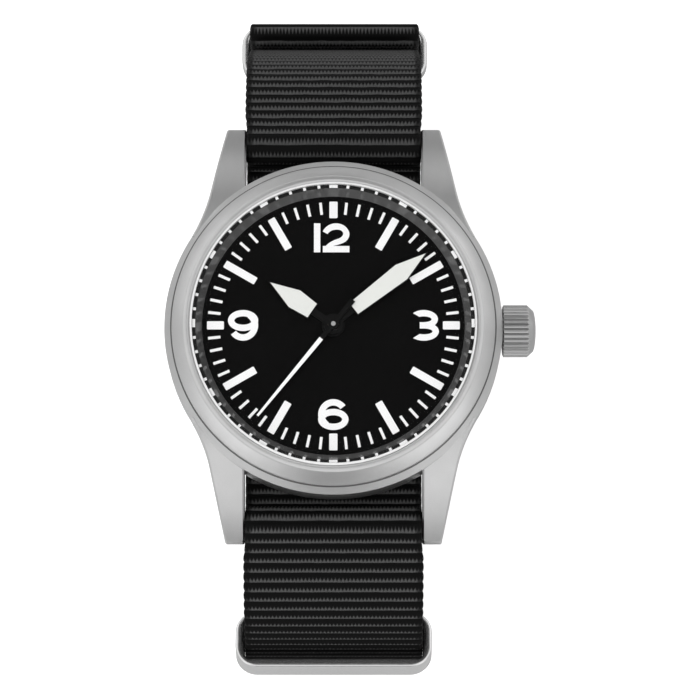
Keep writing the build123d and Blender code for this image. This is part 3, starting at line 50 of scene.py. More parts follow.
class Value:
    """One output in a finish. Sums and products on it add Math nodes."""

    def __init__(self, finish, socket):
        self.finish = finish
        self.socket = socket

    def math(self, operation, *others):
        values = dict(enumerate((self, *others)))
        return self.finish.node("ShaderNodeMath", {"operation": operation}, values)

    def __add__(self, other):
        return self.math("ADD", other)

    def __sub__(self, other):
        return self.math("SUBTRACT", other)

    def __rsub__(self, other):
        return self.finish.node("ShaderNodeMath", {"operation": "SUBTRACT"}, {0: other, 1: self})

    def __mul__(self, other):
        return self.math("MULTIPLY", other)

    def __truediv__(self, other):
        return self.math("DIVIDE", other)

    def __pow__(self, other):
        return self.math("POWER", other)

    __radd__ = __add__
    __rmul__ = __mul__


class Nodes:
    """The nodes of one shader tree."""

    def __init__(self, tree):
        self.tree = tree

    def node(self, kind, settings, values, output=0):
        """Add one node: its settings first, then the value or link of each socket named."""
        node = self.tree.nodes.new(kind)
        for key, setting in settings.items():
            setattr(node, key, setting)
        for key, value in values.items():
            self.join(value, node.inputs[key])
        return Value(self, node.outputs[output])

    def join(self, value, socket):
        """Set a socket to a plain value, or link it."""
        if isinstance(value, Value):
            self.tree.links.new(value.socket, socket)
        else:
            socket.default_value = value

    def axis(self, vector, letter):
        """One part of a vector."""
        return self.node("ShaderNodeSeparateXYZ", {}, {0: vector}, letter)

    def blend(self, share, low, high):
        """A colour between two others."""
        return self.node("ShaderNodeMix", {"data_type": "RGBA"}, {0: share, 6: low, 7: high}, 2)

    def ramp(self, value, low, high):
        """A smooth step from 0 to 1 while a value goes from low to high."""
        settings = {"interpolation_type": "SMOOTHSTEP"}
        return self.node("ShaderNodeMapRange", settings, {0: value, 1: low, 2: high})


class Finish(Nodes):
    """A surface finish of the watch: one shader, and nodes that vary it over the piece."""

    def __init__(self, name, colour, roughness, metallic=0.0, **constants):
        self.material = bpy.data.materials.new(name)
        self.material.use_nodes = True
        super().__init__(self.material.node_tree)
        self.shader = self.tree.nodes["Principled BSDF"]
        self.shader.inputs["Base Color"].default_value = (*colour, 1.0)
        self.shader.inputs["Roughness"].default_value = roughness
        self.shader.inputs["Metallic"].default_value = metallic
        for socket, value in constants.items():
            self.shader.inputs[socket.replace("_", " ")].default_value = value

    def feed(self, **sockets):
        """Link values to the sockets of the shader."""
        for socket, value in sockets.items():
            self.join(value, self.shader.inputs[socket.replace("_", " ")])

    def place(self):
        """The place on the piece, in metres."""
        return self.node("ShaderNodeTexCoord", {}, {}, "Object")

    def from_axis(self, place):
        """How far a place is from the dial axis, in metres."""
        flat = self.node("ShaderNodeVectorMath", {"operation": "MULTIPLY"}, {0: place, 1: (1, 1, 0)})
        return self.node("ShaderNodeVectorMath", {"operation": "LENGTH"}, {0: flat}, 1)

    def noise(self, scale, detail=2.0, stretch=(1, 1, 1), vector=None):
        """Uneven grain; scale counts its spots along a metre, or along one unit of the vector given."""
        where = self.node("ShaderNodeMapping", {}, {"Vector": vector or self.place(), "Scale": stretch})
        values = {"Vector": where, "Scale": scale, "Detail": detail}
        return self.node("ShaderNodeTexNoise", {}, values)

    def bump(self, height, depth, strength=1.0):
        """Relief of a depth in metres from a height between 0 and 1."""
        values = {"Height": height, "Distance": depth, "Strength": strength}
        return self.node("ShaderNodeBump", {}, values)


def grey(level):
    """A neutral colour with its alpha."""
    return (level, level, level, 1.0)


def paint(name, finish):
    """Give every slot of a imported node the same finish."""
    for slot in nodes[name].material_slots:
        slot.material = finish.material


def blasted(name, level, grain=0.5, seam_shade=None):
    """Bead-blasted steel: a fine pitted grain over slow, faint changes of tone.

    A seam shade is two radii and a height: the steel between them, above that height, is painted dark as
    shade in the seam between bezel and case.
    """
    finish = Finish(name, (level, level, level * 0.99), 0.34, 1.0)
    pits = finish.noise(9000, 3.0)
    drift = finish.noise(260, 2.0)
    tone = pits * 0.35 + drift * 0.65
    colour = finish.blend(tone, grey(level * 0.86), grey(min(level * 1.14, 1.0)))
    # Painted shade: a thin dark ring where the bezel sits on the case.
    if seam_shade:
        place = finish.place()
        radius = finish.from_axis(place)
        outside = radius.math("GREATER_THAN", seam_shade[0] / 1000)
        inside = radius.math("LESS_THAN", seam_shade[1] / 1000)
        high = finish.axis(place, "Z").math("GREATER_THAN", seam_shade[2] / 1000)
        colour = finish.blend(outside * inside * high, colour, grey(0.16))
    finish.feed(
        Base_Color=colour,
        Roughness=0.27 + pits * 0.14,
        Normal=finish.bump(pits, 0.00003, grain),
    )
    return finish


dial_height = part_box("dial")[1][2] * 1000
# The ring of painted shade at the bezel seam: its two radii, and the height above which it is painted.
seam_shade_inner_radius = 18.20
seam_shade_outer_radius = 18.35
seam_shade_foot = dial_height - 0.3
case_steel = blasted("blasted_case_steel", 0.62, seam_shade=(seam_shade_inner_radius, seam_shade_outer_radius, seam_shade_foot))
paint("case_middle", case_steel)


# Bezel: a fixed steel ring pressed on the case and blasted like it. A fine groove
# parts its slope from the narrow rim by the crystal.

def spun(name, profile, steps, finish, body=head, closed=True):
    """A piece turned about the dial axis from its profile of radius and height in mm."""
    mesh = bmesh.new()
    ring = [mesh.verts.new((radius / 1000, 0, height / 1000)) for radius, height in profile]
    pairs = list(zip(ring, ring[1:]))
    if closed:
        pairs.append((ring[-1], ring[0]))
    edges = [mesh.edges.new(pair) for pair in pairs]
    bmesh.ops.spin(mesh, geom=ring + edges, cent=(0, 0, 0), axis=(0, 0, 1), angle=math.tau,
                   steps=steps, use_merge=True)
    bmesh.ops.remove_doubles(mesh, verts=mesh.verts, dist=0.000001)
    bmesh.ops.recalc_face_normals(mesh, faces=mesh.faces)
    return settle(name, mesh, finish, body)


def settle(name, mesh, finish, body=head, smooth=0.6):
    """Turn a bmesh into a piece that rides on a body of the watch."""
    data = bpy.data.meshes.new(name)
    mesh.to_mesh(data)
    mesh.free()
    piece = bpy.data.objects.new(name, data)
    bpy.context.scene.collection.objects.link(piece)
    data.materials.append(finish.material)
    data.polygons.foreach_set("use_smooth", [True] * len(data.polygons))
    data.set_sharp_from_angle(angle=smooth)
    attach(piece, body)
    return piece


bezel_profile = [
    (16.12, 0.02), (18.14, 0.02), (18.18, 0.05), (18.18, 0.30), (18.14, 0.36), (16.90, 1.42),
    (16.87, 1.41), (16.84, 1.46), (16.78, 1.485), (16.46, 1.55), (16.40, 1.545), (16.14, 1.43),
    (16.12, 1.38),
]
bezel_steel = blasted("blasted_bezel_steel", 0.62)
bezel = spun("bezel_ring", [(r, dial_height + z) for r, z in bezel_profile], 180, bezel_steel)
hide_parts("bezel")


# Crystal and its gasket: a slightly domed mineral glass with a ground bevel,
# pressed into a nylon ring. The glass itself is almost invisible from above.

glass = Finish("crystal_glass_clear", (0.01, 0.01, 0.01), 0.03, 0.0, Alpha=0.03)
rim_fade = glass.node("ShaderNodeLayerWeight", {}, {"Blend": 0.25}, "Fresnel")
glass.feed(Alpha=0.015 + rim_fade * 0.30)
crystal_foot = 1.52
dome = [
    (0.0, 2.84), (5.0, 2.80), (9.5, 2.68), (13.0, 2.50), (15.36, 2.36), (15.48, 2.33), (15.80, 2.21),
    (15.84, 2.16), (15.84, crystal_foot), (0.0, crystal_foot),
]
crystal = spun("crystal_dome", [(r, dial_height + z) for r, z in dome], 160, glass, closed=False)
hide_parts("crystal")

gasket_rubber = Finish("black_gasket_rubber", (0.02, 0.02, 0.02), 0.6)
gasket_grain = gasket_rubber.noise(4000, 2.0)
gasket_rubber.feed(
    Roughness=0.5 + gasket_grain * 0.25,
    Normal=gasket_rubber.bump(gasket_grain, 0.00002, 0.3),
)
for name in ("case_back_gasket", "crown_gasket"):
    paint(name, gasket_rubber)
white_nylon = Finish("white_gasket_nylon", (0.71, 0.71, 0.70), 0.4)
white_haze = white_nylon.noise(2400, 2.0)
white_nylon.feed(
    Base_Color=white_nylon.blend(white_haze, grey(0.66), grey(0.76)),
    Roughness=0.34 + white_haze * 0.12,
)
paint("crystal_gasket", white_nylon)


# Case back: a steel disc with six key notches, screwed up against its gasket.
# It is left as turned, with fine rings from the lathe.

back_steel = Finish("turned_back_steel", (0.60, 0.60, 0.59), 0.32, 1.0)
lathe_rate = 42000
back_waves = back_steel.from_axis(back_steel.place()) * lathe_rate
lathe_rings = back_waves.math("SINE") * 0.5 + 0.5
back_steel.feed(Roughness=0.24 + lathe_rings * 0.14, Normal=back_steel.bump(lathe_rings, 0.000006, 0.4))
paint("case_back", back_steel)


# Crown and crown tube: the crown is turned, cut with 32 flutes and blasted, a little
# darker than the case. The tube is pressed into the case wall.

crown_steel = blasted("blasted_crown_steel", 0.49, 0.4)
crown_low, crown_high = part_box("crown")
crown_y = (crown_low[1] + crown_high[1]) * 500
crown_z = (crown_low[2] + crown_high[2]) * 500
crown_radius = 2.95
flute_count = 32
flute_depth = 0.20
ridge_round = 0.03
points_per_flute = 8
crown_profile = [
    (21.75, 0.0), (21.75, 2.15), (19.10, 2.15), (19.10, 2.70), (19.22, crown_radius), (21.88, crown_radius),
    (21.94, 2.90), (22.00, 2.84), (22.06, 2.78), (22.12, 2.73), (22.30, 2.56), (22.54, 2.34), (22.60, 2.27),
    (22.70, 2.00), (22.79, 1.50), (22.86, 0.80), (22.89, 0.0),
]
crown_mesh = bmesh.new()
crown_rows = []
for along, limit in crown_profile:
    row = []
    for number in range(flute_count * points_per_flute):
        from_groove = abs(number % points_per_flute * 2 / points_per_flute - 1)
        ridge = crown_radius - ridge_round * (1 - from_groove ** 2)
        ridge -= flute_depth * max(0.0, 1 - from_groove * 2)
        angle = math.tau * number / (flute_count * points_per_flute)
        radius = min(limit, ridge)
        row.append(crown_mesh.verts.new((along / 1000, (crown_y + radius * math.cos(angle)) / 1000,
                                         (crown_z + radius * math.sin(angle)) / 1000)))
    crown_rows.append(row)
for row, after in zip(crown_rows, crown_rows[1:]):
    for index in range(len(row)):
        crown_mesh.faces.new((row[index - 1], row[index], after[index], after[index - 1]))
bmesh.ops.remove_doubles(crown_mesh, verts=crown_mesh.verts, dist=0.000001)
bmesh.ops.recalc_face_normals(crown_mesh, faces=crown_mesh.faces)
crown = settle("fluted_crown", crown_mesh, crown_steel, "crown_and_stem", smooth=0.35)
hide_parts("crown")
bar_steel = Finish("turned_bar_steel", (0.55, 0.55, 0.55), 0.3, 1.0)
bar_lines = bar_steel.noise(6000, 2.0, (1, 0.05, 0.05))
bar_steel.feed(
    Base_Color=bar_steel.blend(bar_lines, grey(0.46), grey(0.62)),
    Roughness=0.22 + bar_lines * 0.2,
)
paint("crown_tube", bar_steel)


# Dial: a brass disc lacquered matt black, with a barely visible fine grain.
# It rests on the movement ring and is held down by the flange ring.

dial_lacquer = Finish("matt_black_dial", (0.003, 0.003, 0.0033), 0.62, 0.0, Specular_IOR_Level=0.04)
dial_grain = dial_lacquer.noise(7000, 3.0)
dial_drift = dial_lacquer.noise(120, 1.0)
dial_lacquer.feed(
    Base_Color=dial_lacquer.blend(dial_grain * 0.6 + dial_drift * 0.4, grey(0.002), grey(0.0048)),
    Roughness=0.55 + dial_grain * 0.2,
    Normal=dial_lacquer.bump(dial_grain, 0.000008, 0.3),
)
paint("dial", dial_lacquer)


# Printed markings: thick white paint stamped on the dial in several passes,
# and sixty short dashes printed on the flat top of the flange ring.

marking_paint = Finish("white_marking_paint", (0.95, 0.95, 0.94), 0.5)
paint_grain = marking_paint.noise(5200, 3.0)
marking_paint.feed(
    Base_Color=marking_paint.blend(paint_grain, (0.91, 0.91, 0.91, 1), (0.98, 0.98, 0.98, 1)),
    Roughness=0.42 + paint_grain * 0.2,
    Normal=marking_paint.bump(paint_grain, 0.00001, 0.3),
)
for name in ("dial_markers", "flange_marks"):
    paint(name, marking_paint)


# Flange ring: a brass ring between dial and crystal. Its flat top is lacquered dull black; its glossy slope
# mirrors the minute bars of the dial as soft pale patches, and is also coloured grey as painted reflection.

flange_lacquer = Finish("black_flange_lacquer", (0.09, 0.09, 0.09), 0.12, 0.0, Specular_IOR_Level=0.4)
flange_height = flange_lacquer.axis(flange_lacquer.place(), "Z")
flange_top = dial_height + 1.40
on_top = flange_height.math("GREATER_THAN", flange_top / 1000)
flange_waves = flange_lacquer.noise(900, 2.0)
flange_lacquer.feed(
    # Painted reflection: the slope's base colour is grey, while the flat top is near black.
    Base_Color=flange_lacquer.blend(on_top, grey(0.09), grey(0.003)),
    Roughness=0.09 + flange_waves * 0.05 + on_top * 0.5,
)
paint("flange_ring", flange_lacquer)


# Hands: stamped brass in satin black lacquer, with a white luminous filling that
# covers the blade up to a fine border. The seconds hand has a blade painted white
# and a bright pin in the middle of its black hub.

hand_lacquer = Finish("satin_black_hands", (0.003, 0.003, 0.003), 0.4, 0.0, Specular_IOR_Level=0.15)
hand_grain = hand_lacquer.noise(3500, 2.0)
hand_lacquer.feed(Roughness=0.3 + hand_grain * 0.2, Normal=hand_lacquer.bump(hand_grain, 0.00001, 0.3))
for name in ("hour_hand", "minute_hand"):
    paint(name, hand_lacquer)
pin_finish = Finish("black_hand_with_bright_pin", (0.003, 0.003, 0.003), 0.3, 0.0, Specular_IOR_Level=0.15)
pin_radius = 0.26
on_pin = pin_finish.from_axis(pin_finish.place()).math("LESS_THAN", pin_radius / 1000)
pin_marks = pin_finish.noise(3500, 2.0)
pin_finish.feed(
    Base_Color=pin_finish.blend(on_pin, grey(0.003), grey(0.85)),
    Metallic=on_pin,
    Roughness=0.34 + pin_marks * 0.1 - on_pin * 0.1,
)
paint("seconds_hand", pin_finish)
lume = Finish("white_luminous_fill", (0.78, 0.79, 0.76), 0.7)
dull_lume = (0.71, 0.72, 0.69, 1)
bright_lume = (0.85, 0.86, 0.83, 1)
lume_grain = lume.noise(6500, 4.0)
lume_tone = lume.noise(700, 2.0)
lume.feed(
    Base_Color=lume.blend(lume_grain * 0.7 + lume_tone * 0.3, dull_lume, bright_lume),
    Roughness=0.6 + lume_grain * 0.25,
    Normal=lume.bump(lume_grain, 0.00002, 0.5),
)
for name in ("hour_hand_lume", "minute_hand_lume"):
    paint(name, lume)
paint("seconds_hand_lume", marking_paint)


# Movement: brass plate and bridge with a straight grain, gilt wheels, polished steel
# pinions and levers, a copper coil and a green circuit board, inside a moulded ring.

def metal(name, low, high, roughness, stretch, scale=2600):
    """Metal with a directional grain between two tones."""
    finish = Finish(name, low[:3], roughness, 1.0)
    lines = finish.noise(scale, 3.0, stretch)
    finish.feed(
        Base_Color=finish.blend(lines, low, high),
        Roughness=roughness - 0.06 + lines * 0.14,
        Normal=finish.bump(lines, 0.000008, 0.4),
    )
    return finish


dark_plate = (0.60, 0.47, 0.24, 1)
light_plate = (0.78, 0.64, 0.36, 1)
dark_gilt = (0.70, 0.52, 0.22, 1)
light_gilt = (0.86, 0.68, 0.34, 1)
dark_copper = (0.50, 0.20, 0.08, 1)
light_copper = (0.80, 0.40, 0.20, 1)
plate_brass = metal("grained_plate_brass", dark_plate, light_plate, 0.34, (1, 0.04, 1))
wheel_brass = metal("gilt_wheel_brass", dark_gilt, light_gilt, 0.26, (1, 1, 1))
pinion_steel = metal("polished_pinion_steel", grey(0.42), grey(0.58), 0.2, (1, 1, 0.1))
cell_steel = metal("pressed_cell_steel", grey(0.60), grey(0.74), 0.28, (0.1, 1, 1))
magnet_metal = metal("ground_magnet", grey(0.10), grey(0.2), 0.4, (1, 1, 1))
coil_copper = metal("wound_copper_wire", dark_copper, light_copper, 0.32, (1, 0.02, 0.02), scale=9000)
ring_nylon = Finish("moulded_ring_nylon", (0.72, 0.72, 0.70), 0.5)
nylon_haze = ring_nylon.noise(900, 3.0)
ring_nylon.feed(
    Base_Color=ring_nylon.blend(nylon_haze, grey(0.62), grey(0.76)),
    Roughness=0.42 + nylon_haze * 0.2,
)
chip_resin = Finish("moulded_chip_resin", (0.02, 0.02, 0.02), 0.55)
resin_grain = chip_resin.noise(8000, 2.0)
chip_resin.feed(Roughness=0.45 + resin_grain * 0.25)
board_mask = Finish("green_board_mask", (0.03, 0.16, 0.08), 0.35, 0.0, Coat_Weight=0.5)
track_rate = 5200
board_waves = board_mask.axis(board_mask.place(), "X") * track_rate
tracks = board_waves.math("SINE").math("GREATER_THAN", 0.55)
board_mask.feed(
    Base_Color=board_mask.blend(tracks, (0.02, 0.13, 0.06, 1), (0.06, 0.26, 0.12, 1)),
    Normal=board_mask.bump(tracks, 0.00002, 0.5),
)
movement_finishes = [
    (ring_nylon, ["movement_ring"]),
    (plate_brass, ["main_plate", "train_bridge"]),
    (wheel_brass, ["fifth_wheel", "fourth_wheel", "third_wheel", "centre_wheel", "minute_wheel",
                   "hour_wheel", "dial_washer"]),
    (pinion_steel, ["stator", "coil_core", "cannon_pinion", "setting_wheel", "clutch_pinion",
                    "setting_lever", "yoke", "setting_spring", "movement_screws", "winding_stem"]),
    (coil_copper, ["coil"]),
    (magnet_metal, ["rotor"]),
    (board_mask, ["circuit_board"]),
    (chip_resin, ["control_chip"]),
    (cell_steel, ["quartz_can", "battery"]),
    (bar_steel, ["battery_clamp"]),
]
for finish, names in movement_finishes:
    for name in names:
        paint(name, finish)


# Spring bars: two steel tubes with a coil spring and two sprung plungers each,
# whose tips sit in the lugs.

for name in ("spring_bar_tubes", "spring_bar_springs", "plunger_12_right", "plunger_12_left",
             "plunger_6_right", "plunger_6_left"):
    paint(name, bar_steel)


# Long strap: black nylon webbing, woven so that thick cords run across it as ribs
# and each lengthwise yarn floats over every second rib. Both edges are bumpy selvedges.
# It runs through both spring bars, round the buckle bar and back under the keepers.

rib_pitch = 1.17
tooth_pitch = 0.41
webbing_width = 19.98
core_half = 0.40
rib_rise = 0.22
rows_per_rib = 6
edge_round = 0.30
edge_inset = 0.1
edge_level_share = 0.72
selvedge_bump = 0.12
selvedge_reach = 0.8
lug_end = 24.2
spread_length = 1.5
spread_share = 0.02
ring_grip_start = -34.5
ring_spread_share = 0.004

nylon = Finish("black_ribbed_nylon", (0.02, 0.02, 0.02), 0.6, 0.0, Specular_IOR_Level=0.06)
weave = nylon.node("ShaderNodeUVMap", {"uv_map": "weave"}, {})
wander = nylon.noise(0.5, 2.0, vector=weave) - 0.5
ribs = nylon.axis(weave, "Y") / rib_pitch + 0.5 + wander * 0.10
rib_number = ribs.math("FLOOR")
rib_share = ribs - rib_number
across = nylon.axis(weave, "X")
yarns = across / tooth_pitch + rib_number * 0.5 + wander * 0.5
tooth = yarns.math("PINGPONG", 0.5) * 2
ragged = nylon.noise(2.6, 2.0, vector=weave)
fibres = nylon.noise(11.0, 3.0, (1, 0.4, 1), weave)
tooth_top = 0.70 - tooth * 0.34 - ragged * 0.10
floats = nylon.ramp(rib_share - tooth_top, 0.0, 0.30) * (1 - nylon.ramp(rib_share, 0.90, 0.97))
selvedge = nylon.ramp(across.math("ABSOLUTE"), webbing_width / 2 - 0.9, webbing_width / 2 - 0.5)
# Painted shade: the colour is light on the yarn floats and near black in the crevices between them, and
# darker toward both edges.
painted_lit_floats = floats * (1 - selvedge * 0.75)
nylon.feed(
    Base_Color=nylon.blend(painted_lit_floats * (0.3 + fibres * 1.2), grey(0.0028), grey(0.062)),
    Roughness=0.45 + fibres * 0.3,
    Normal=nylon.bump(floats * 0.7 + tooth * floats * 0.3 + fibres * 0.15, 0.00010, 0.8),
)


def rounded_route(corners, step):
    """Places in Y and Z along a route of corners with bends, one at every step, in mm."""
    points_per_radian = 10
    places = []
    for index, (y, z, bend) in enumerate(corners):
        here = Vector((y, z))
        if bend == 0:
            places.append(here)
            continue
        before = (Vector(corners[index - 1][:2]) - here).normalized()
        after = (Vector(corners[index + 1][:2]) - here).normalized()
        half_angle = before.angle(after) / 2
        reach = bend / math.tan(half_angle)
        centre = here + (before + after).normalized() * (bend / math.sin(half_angle))
        first = here + before * reach - centre
        last = here + after * reach - centre
        start = math.atan2(first.y, first.x)
        turn = math.remainder(math.atan2(last.y, last.x) - start, math.tau)
        count = max(2, math.ceil(abs(turn) * points_per_radian))
        for number in range(count + 1):
            angle = start + turn * number / count
            places.append(centre + Vector((math.cos(angle), math.sin(angle))) * bend)
    spaced = [places[0]]
    left = step
    for first, last in zip(places, places[1:]):
        run = (last - first).length
        while left <= run:
            spaced.append(first.lerp(last, left / run))
            left += step
        left -= run
    return spaced


def webbing_section():
    """Points round the webbing: how far across each is, and its share of the half thickness."""
    half = webbing_width / 2
    fine_half = 1.5
    fine_steps = 5
    coarse_steps = 6
    coarse_width = half - edge_round - fine_half
    fine = [fine_half * number / fine_steps for number in range(-fine_steps, fine_steps + 1)]
    coarse = [fine_half + coarse_width * number / coarse_steps for number in range(1, coarse_steps + 1)]
    flat = [-across for across in reversed(coarse)] + fine + coarse
    top = [(-half, 0.0), (edge_inset - half, edge_level_share)]
    top += [(across, 1.0) for across in flat]
    top += [(half - edge_inset, edge_level_share)]
    section = top + [(-across, -level) for across, level in top]
    return section + section[:1]


def webbing(name, corners, first_rib=0.0, holes=()):
    """A ribbed strap along a route, with round ribs, bumpy edges and punched holes.

    Beyond the lugs, which pinch it, it spreads a little wider, up to the ring that holds it.

    A hole is its place in Y and Z, its half length, its half width and how square it is.
    """
    step = rib_pitch / rows_per_rib
    route = rounded_route(corners, step)
    section = webbing_section()
    columns = len(section) - 1
    rows = len(route) - 1
    punched = []
    for y, z, half_length, half_width, square in holes:
        middle_row = min(range(rows), key=lambda row: (route[row] - Vector((y, z))).length)
        punched.append((middle_row, half_length, half_width, square))
    mesh = bmesh.new()
    weave_map = mesh.loops.layers.uv.new("weave")
    bmesh.ops.create_grid(mesh, x_segments=columns, y_segments=rows, size=0.5)
    spot = {vert: (round((vert.co.x + 0.5) * columns), round((vert.co.y + 0.5) * rows))
            for vert in mesh.verts}
    within = {}
    for vert, (column, row) in spot.items():
        across, level = section[column]
        along = row * step
        for number, (middle_row, half_length, half_width, square) in enumerate(punched):
            off = (row - middle_row) * step
            far = (abs(across / half_width) ** square + abs(off / half_length) ** square) ** (1 / square)
            if far < 1:
                within[vert] = number
                to_rim = max(far, 0.05)
                across /= to_rim
                along = middle_row * step + off / to_rim
        spot[vert] = (across, level, along)
    for face in mesh.faces:
        for loop in face.loops:
            across, level, along = spot[loop.vert]
            loop[weave_map].uv = (across, along + first_rib * rib_pitch)
    for vert, (across, level, along) in spot.items():
        row = min(int(along / step), rows - 1)
        place = route[row].lerp(route[row + 1], along / step - row)
        ahead = (route[min(row + 1, rows)] - route[max(row - 1, 0)]).normalized()
        out = Vector((-ahead.y, ahead.x))
        arch = abs(math.cos(math.pi * (along / rib_pitch + first_rib))) ** 0.6
        edge = max(0.0, 1 - (webbing_width / 2 - abs(across)) / selvedge_reach)
        place = place + out * level * (core_half + rib_rise * arch)
        loose = min(max((abs(place.x) - lug_end) / spread_length, 0.0), 1.0)
        held = min(max(ring_grip_start - place.x, 0.0), 1.0)
        bump = selvedge_bump * (0.25 + 0.75 * loose * (1 - held))
        across -= math.copysign(bump * (1 - arch) * edge, across)
        across *= 1 + spread_share * loose + ring_spread_share * held
        vert.co = (across / 1000, place.x / 1000, place.y / 1000)
    lost = [face for face in mesh.faces if all(vert in within for vert in face.verts)]
    bmesh.ops.delete(mesh, geom=lost, context="FACES_ONLY")
    for number in range(len(punched)):
        rim = [edge for edge in mesh.edges
               if edge.is_boundary and all(within.get(vert) == number for vert in edge.verts)]
        bmesh.ops.bridge_loops(mesh, edges=rim)
    stray = [vert for vert in mesh.verts if not vert.link_faces]
    bmesh.ops.delete(mesh, geom=stray, context="VERTS")
    bmesh.ops.remove_doubles(mesh, verts=mesh.verts, dist=0.0000005)
    bmesh.ops.holes_fill(mesh, edges=[edge for edge in mesh.edges if edge.is_boundary], sides=0)
    bmesh.ops.recalc_face_normals(mesh, faces=mesh.faces)
    piece = settle(name, mesh, nylon, smooth=1.3)
    return piece


long_route = [
    (18.0, -40.17, 0), (12.5, -40.17, 2.0), (10.0, -41.59, 2.0), (5.55, -41.59, 1.43), (5.55, -38.69, 1.43),
    (38.0, -38.69, 12.5), (38.0, -16.004, 22.0), (32.701, 0.303, 13.0), (22.384, 5.56, 1.58),
    (20.4, 5.56, 1.58), (20.4, 2.08, 1.2), (-20.4, 2.08, 1.2), (-20.4, 5.56, 1.58), (-22.384, 5.56, 1.58),
    (-33.207, 0.045, 13.0), (-36.5, -13.16, 29.0), (-32.5, -41.16, 12.0), (-2.4, -41.16, 4.5),
    (0.4, -43.07, 4.5), (15.8, -43.07, 5.0), (20.2, -41.04, 5.0), (39.48, -41.04, 14.0),
    (39.48, -15.04, 0.72), (40.96, -15.04, 0.72), (40.96, -32.04, 0),
]
strap_holes = [
    (-0.84, -42.22, 2.3, 1.2, 5), (-21.84, -41.16, 0.9, 0.9, 2), (-14.84, -41.16, 0.9, 0.9, 2),
    (6.16, -43.07, 0.9, 0.9, 2), (13.16, -43.07, 0.9, 0.9, 2), (5.55, -40.14, 4.0, 1.25, 8),
]
long_strap = webbing("long_strap", long_route, holes=strap_holes)
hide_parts("strap_main")


# Under-strap: a shorter length of the same webbing, sewn in at the buckle. It runs
# under the case and ends in a loop that holds the ring at 6 o'clock.

under_route = [
    (9.0, -37.21, 0), (11.0, -37.21, 12.5), (20.0, -35.88, 12.5), (35.19, -35.88, 9.69),
    (35.19, -16.45, 19.19), (29.65, 0.6, 10.0), (-25.3, 0.6, 8.0), (-32.06, -4.545, 1.5),
    (-33.328, -8.967, 1.355), (-30.684, -9.725, 1.355), (-29.083, -4.139, 0.62), (-25.502, -1.413, 0),
]
under_strap = webbing("under_strap", under_route, 0.3)
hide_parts("strap_under")


# Stitching: two rows of black thread across the start of the under-strap, which they
# hold on the folded end of the long strap.

thread = Finish("black_sewing_thread", (0.03, 0.03, 0.03), 0.5, 0.0, Specular_IOR_Level=0.3)
thread_twist = thread.noise(9000, 2.0, (1, 0.3, 0.3))
thread.feed(
    Base_Color=thread.blend(thread_twist, grey(0.02), grey(0.05)),
    Roughness=0.42 + thread_twist * 0.2,
)
thread_radius = 0.14
stitch_length = 1.15
stitch_pitch = 1.45
stitch_level = -36.62
stitch_mesh = bmesh.new()
for row_y in (9.9, 11.3):
    for number in range(-6, 7):
        made = bmesh.ops.create_cone(stitch_mesh, cap_ends=True, segments=8, radius1=thread_radius / 1000,
                                     radius2=thread_radius / 1000, depth=stitch_length / 1000)
        seat = Matrix.Translation(Vector((number * stitch_pitch, row_y, stitch_level)) / 1000)
        lying = Matrix.Rotation(math.pi / 2, 4, "Y")
        bmesh.ops.transform(stitch_mesh, matrix=seat @ lying, verts=made["verts"])
stitches = settle("buckle_stitches", stitch_mesh, thread)


# Rings and buckle: bent from flat steel band, welded, ground round at the edges and
# blasted to a bright satin. The tongue turns on the hinge bar of the frame.

ring_steel = Finish("satin_ring_steel", (0.70, 0.70, 0.69), 0.24, 1.0)
ring_grain = ring_steel.noise(4200, 2.0)
ring_steel.feed(
    Base_Color=ring_steel.blend(ring_grain, grey(0.67), grey(0.77)),
    Roughness=0.11 + ring_grain * 0.10,
    Normal=ring_steel.bump(ring_grain, 0.00001, 0.3),
)


def rounded_loop(width, length, corner, height):
    """The corners of a rounded oblong as points, the same number at any size."""
    steps = 10
    places = []
    for quarter, (side_x, side_y) in enumerate(((1, 1), (-1, 1), (-1, -1), (1, -1))):
        for number in range(steps + 1):
            angle = math.radians(90 * quarter + 90 * number / steps)
            x = side_x * (width / 2 - corner) + corner * math.cos(angle)
            y = side_y * (length / 2 - corner) + corner * math.sin(angle)
            places.append(Vector((x, y, height)) / 1000)
    return places


def band_ring(name, lean, body):
    """One welded ring with rounded edges, in the place of the CAD ring of that name."""
    width = 22.5
    length = 6.8
    band = 1.05
    half_height = 1.45
    outer_corner = 2.5
    inner_corner = 0.6
    edge = 0.22
    round_off = [(edge * (1 - math.sin(angle)), half_height - edge * (1 - math.cos(angle)))
                 for angle in (math.pi / 2, math.pi / 3, math.pi / 6, 0)]
    loops = []
    for inset, height in round_off:
        loops.append(rounded_loop(width - 2 * inset, length - 2 * inset, outer_corner - inset, height))
    for inset, height in reversed(round_off):
        grow = 2 * (band - inset)
        loops.append(rounded_loop(width - grow, length - grow, inner_corner + inset, height))
    mirrored = [[Vector((place.x, place.y, -place.z)) for place in loop] for loop in reversed(loops)]
    mesh = bmesh.new()
    rows = [[mesh.verts.new(place) for place in loop] for loop in loops + mirrored]
    for row, after in zip(rows, rows[1:] + rows[:1]):
        for index in range(len(row)):
            mesh.faces.new((row[index - 1], row[index], after[index], after[index - 1]))
    bmesh.ops.recalc_face_normals(mesh, faces=mesh.faces)
    low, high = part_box(name)
    middle = (Vector(low) + Vector(high)) / 2
    turn = Matrix.Rotation(math.radians(lean), 3, "X")
    bmesh.ops.rotate(mesh, verts=mesh.verts, cent=(0, 0, 0), matrix=turn)
    bmesh.ops.translate(mesh, verts=mesh.verts, vec=middle)
    piece = settle(name + "_band", mesh, ring_steel, body)
    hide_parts(name)


band_ring("slide_ring", -16.0, "six_ring")
band_ring("keeper_ring_upper", 0.0, "upper_keeper")
band_ring("keeper_ring_lower", 90.0, "lower_keeper")
for name in ("buckle_frame", "buckle_tongue"):
    paint(name, ring_steel)


# Floor: plain and pale, just under the buckle that the watch rests on. It takes the
# shadow and is no part of the watch.

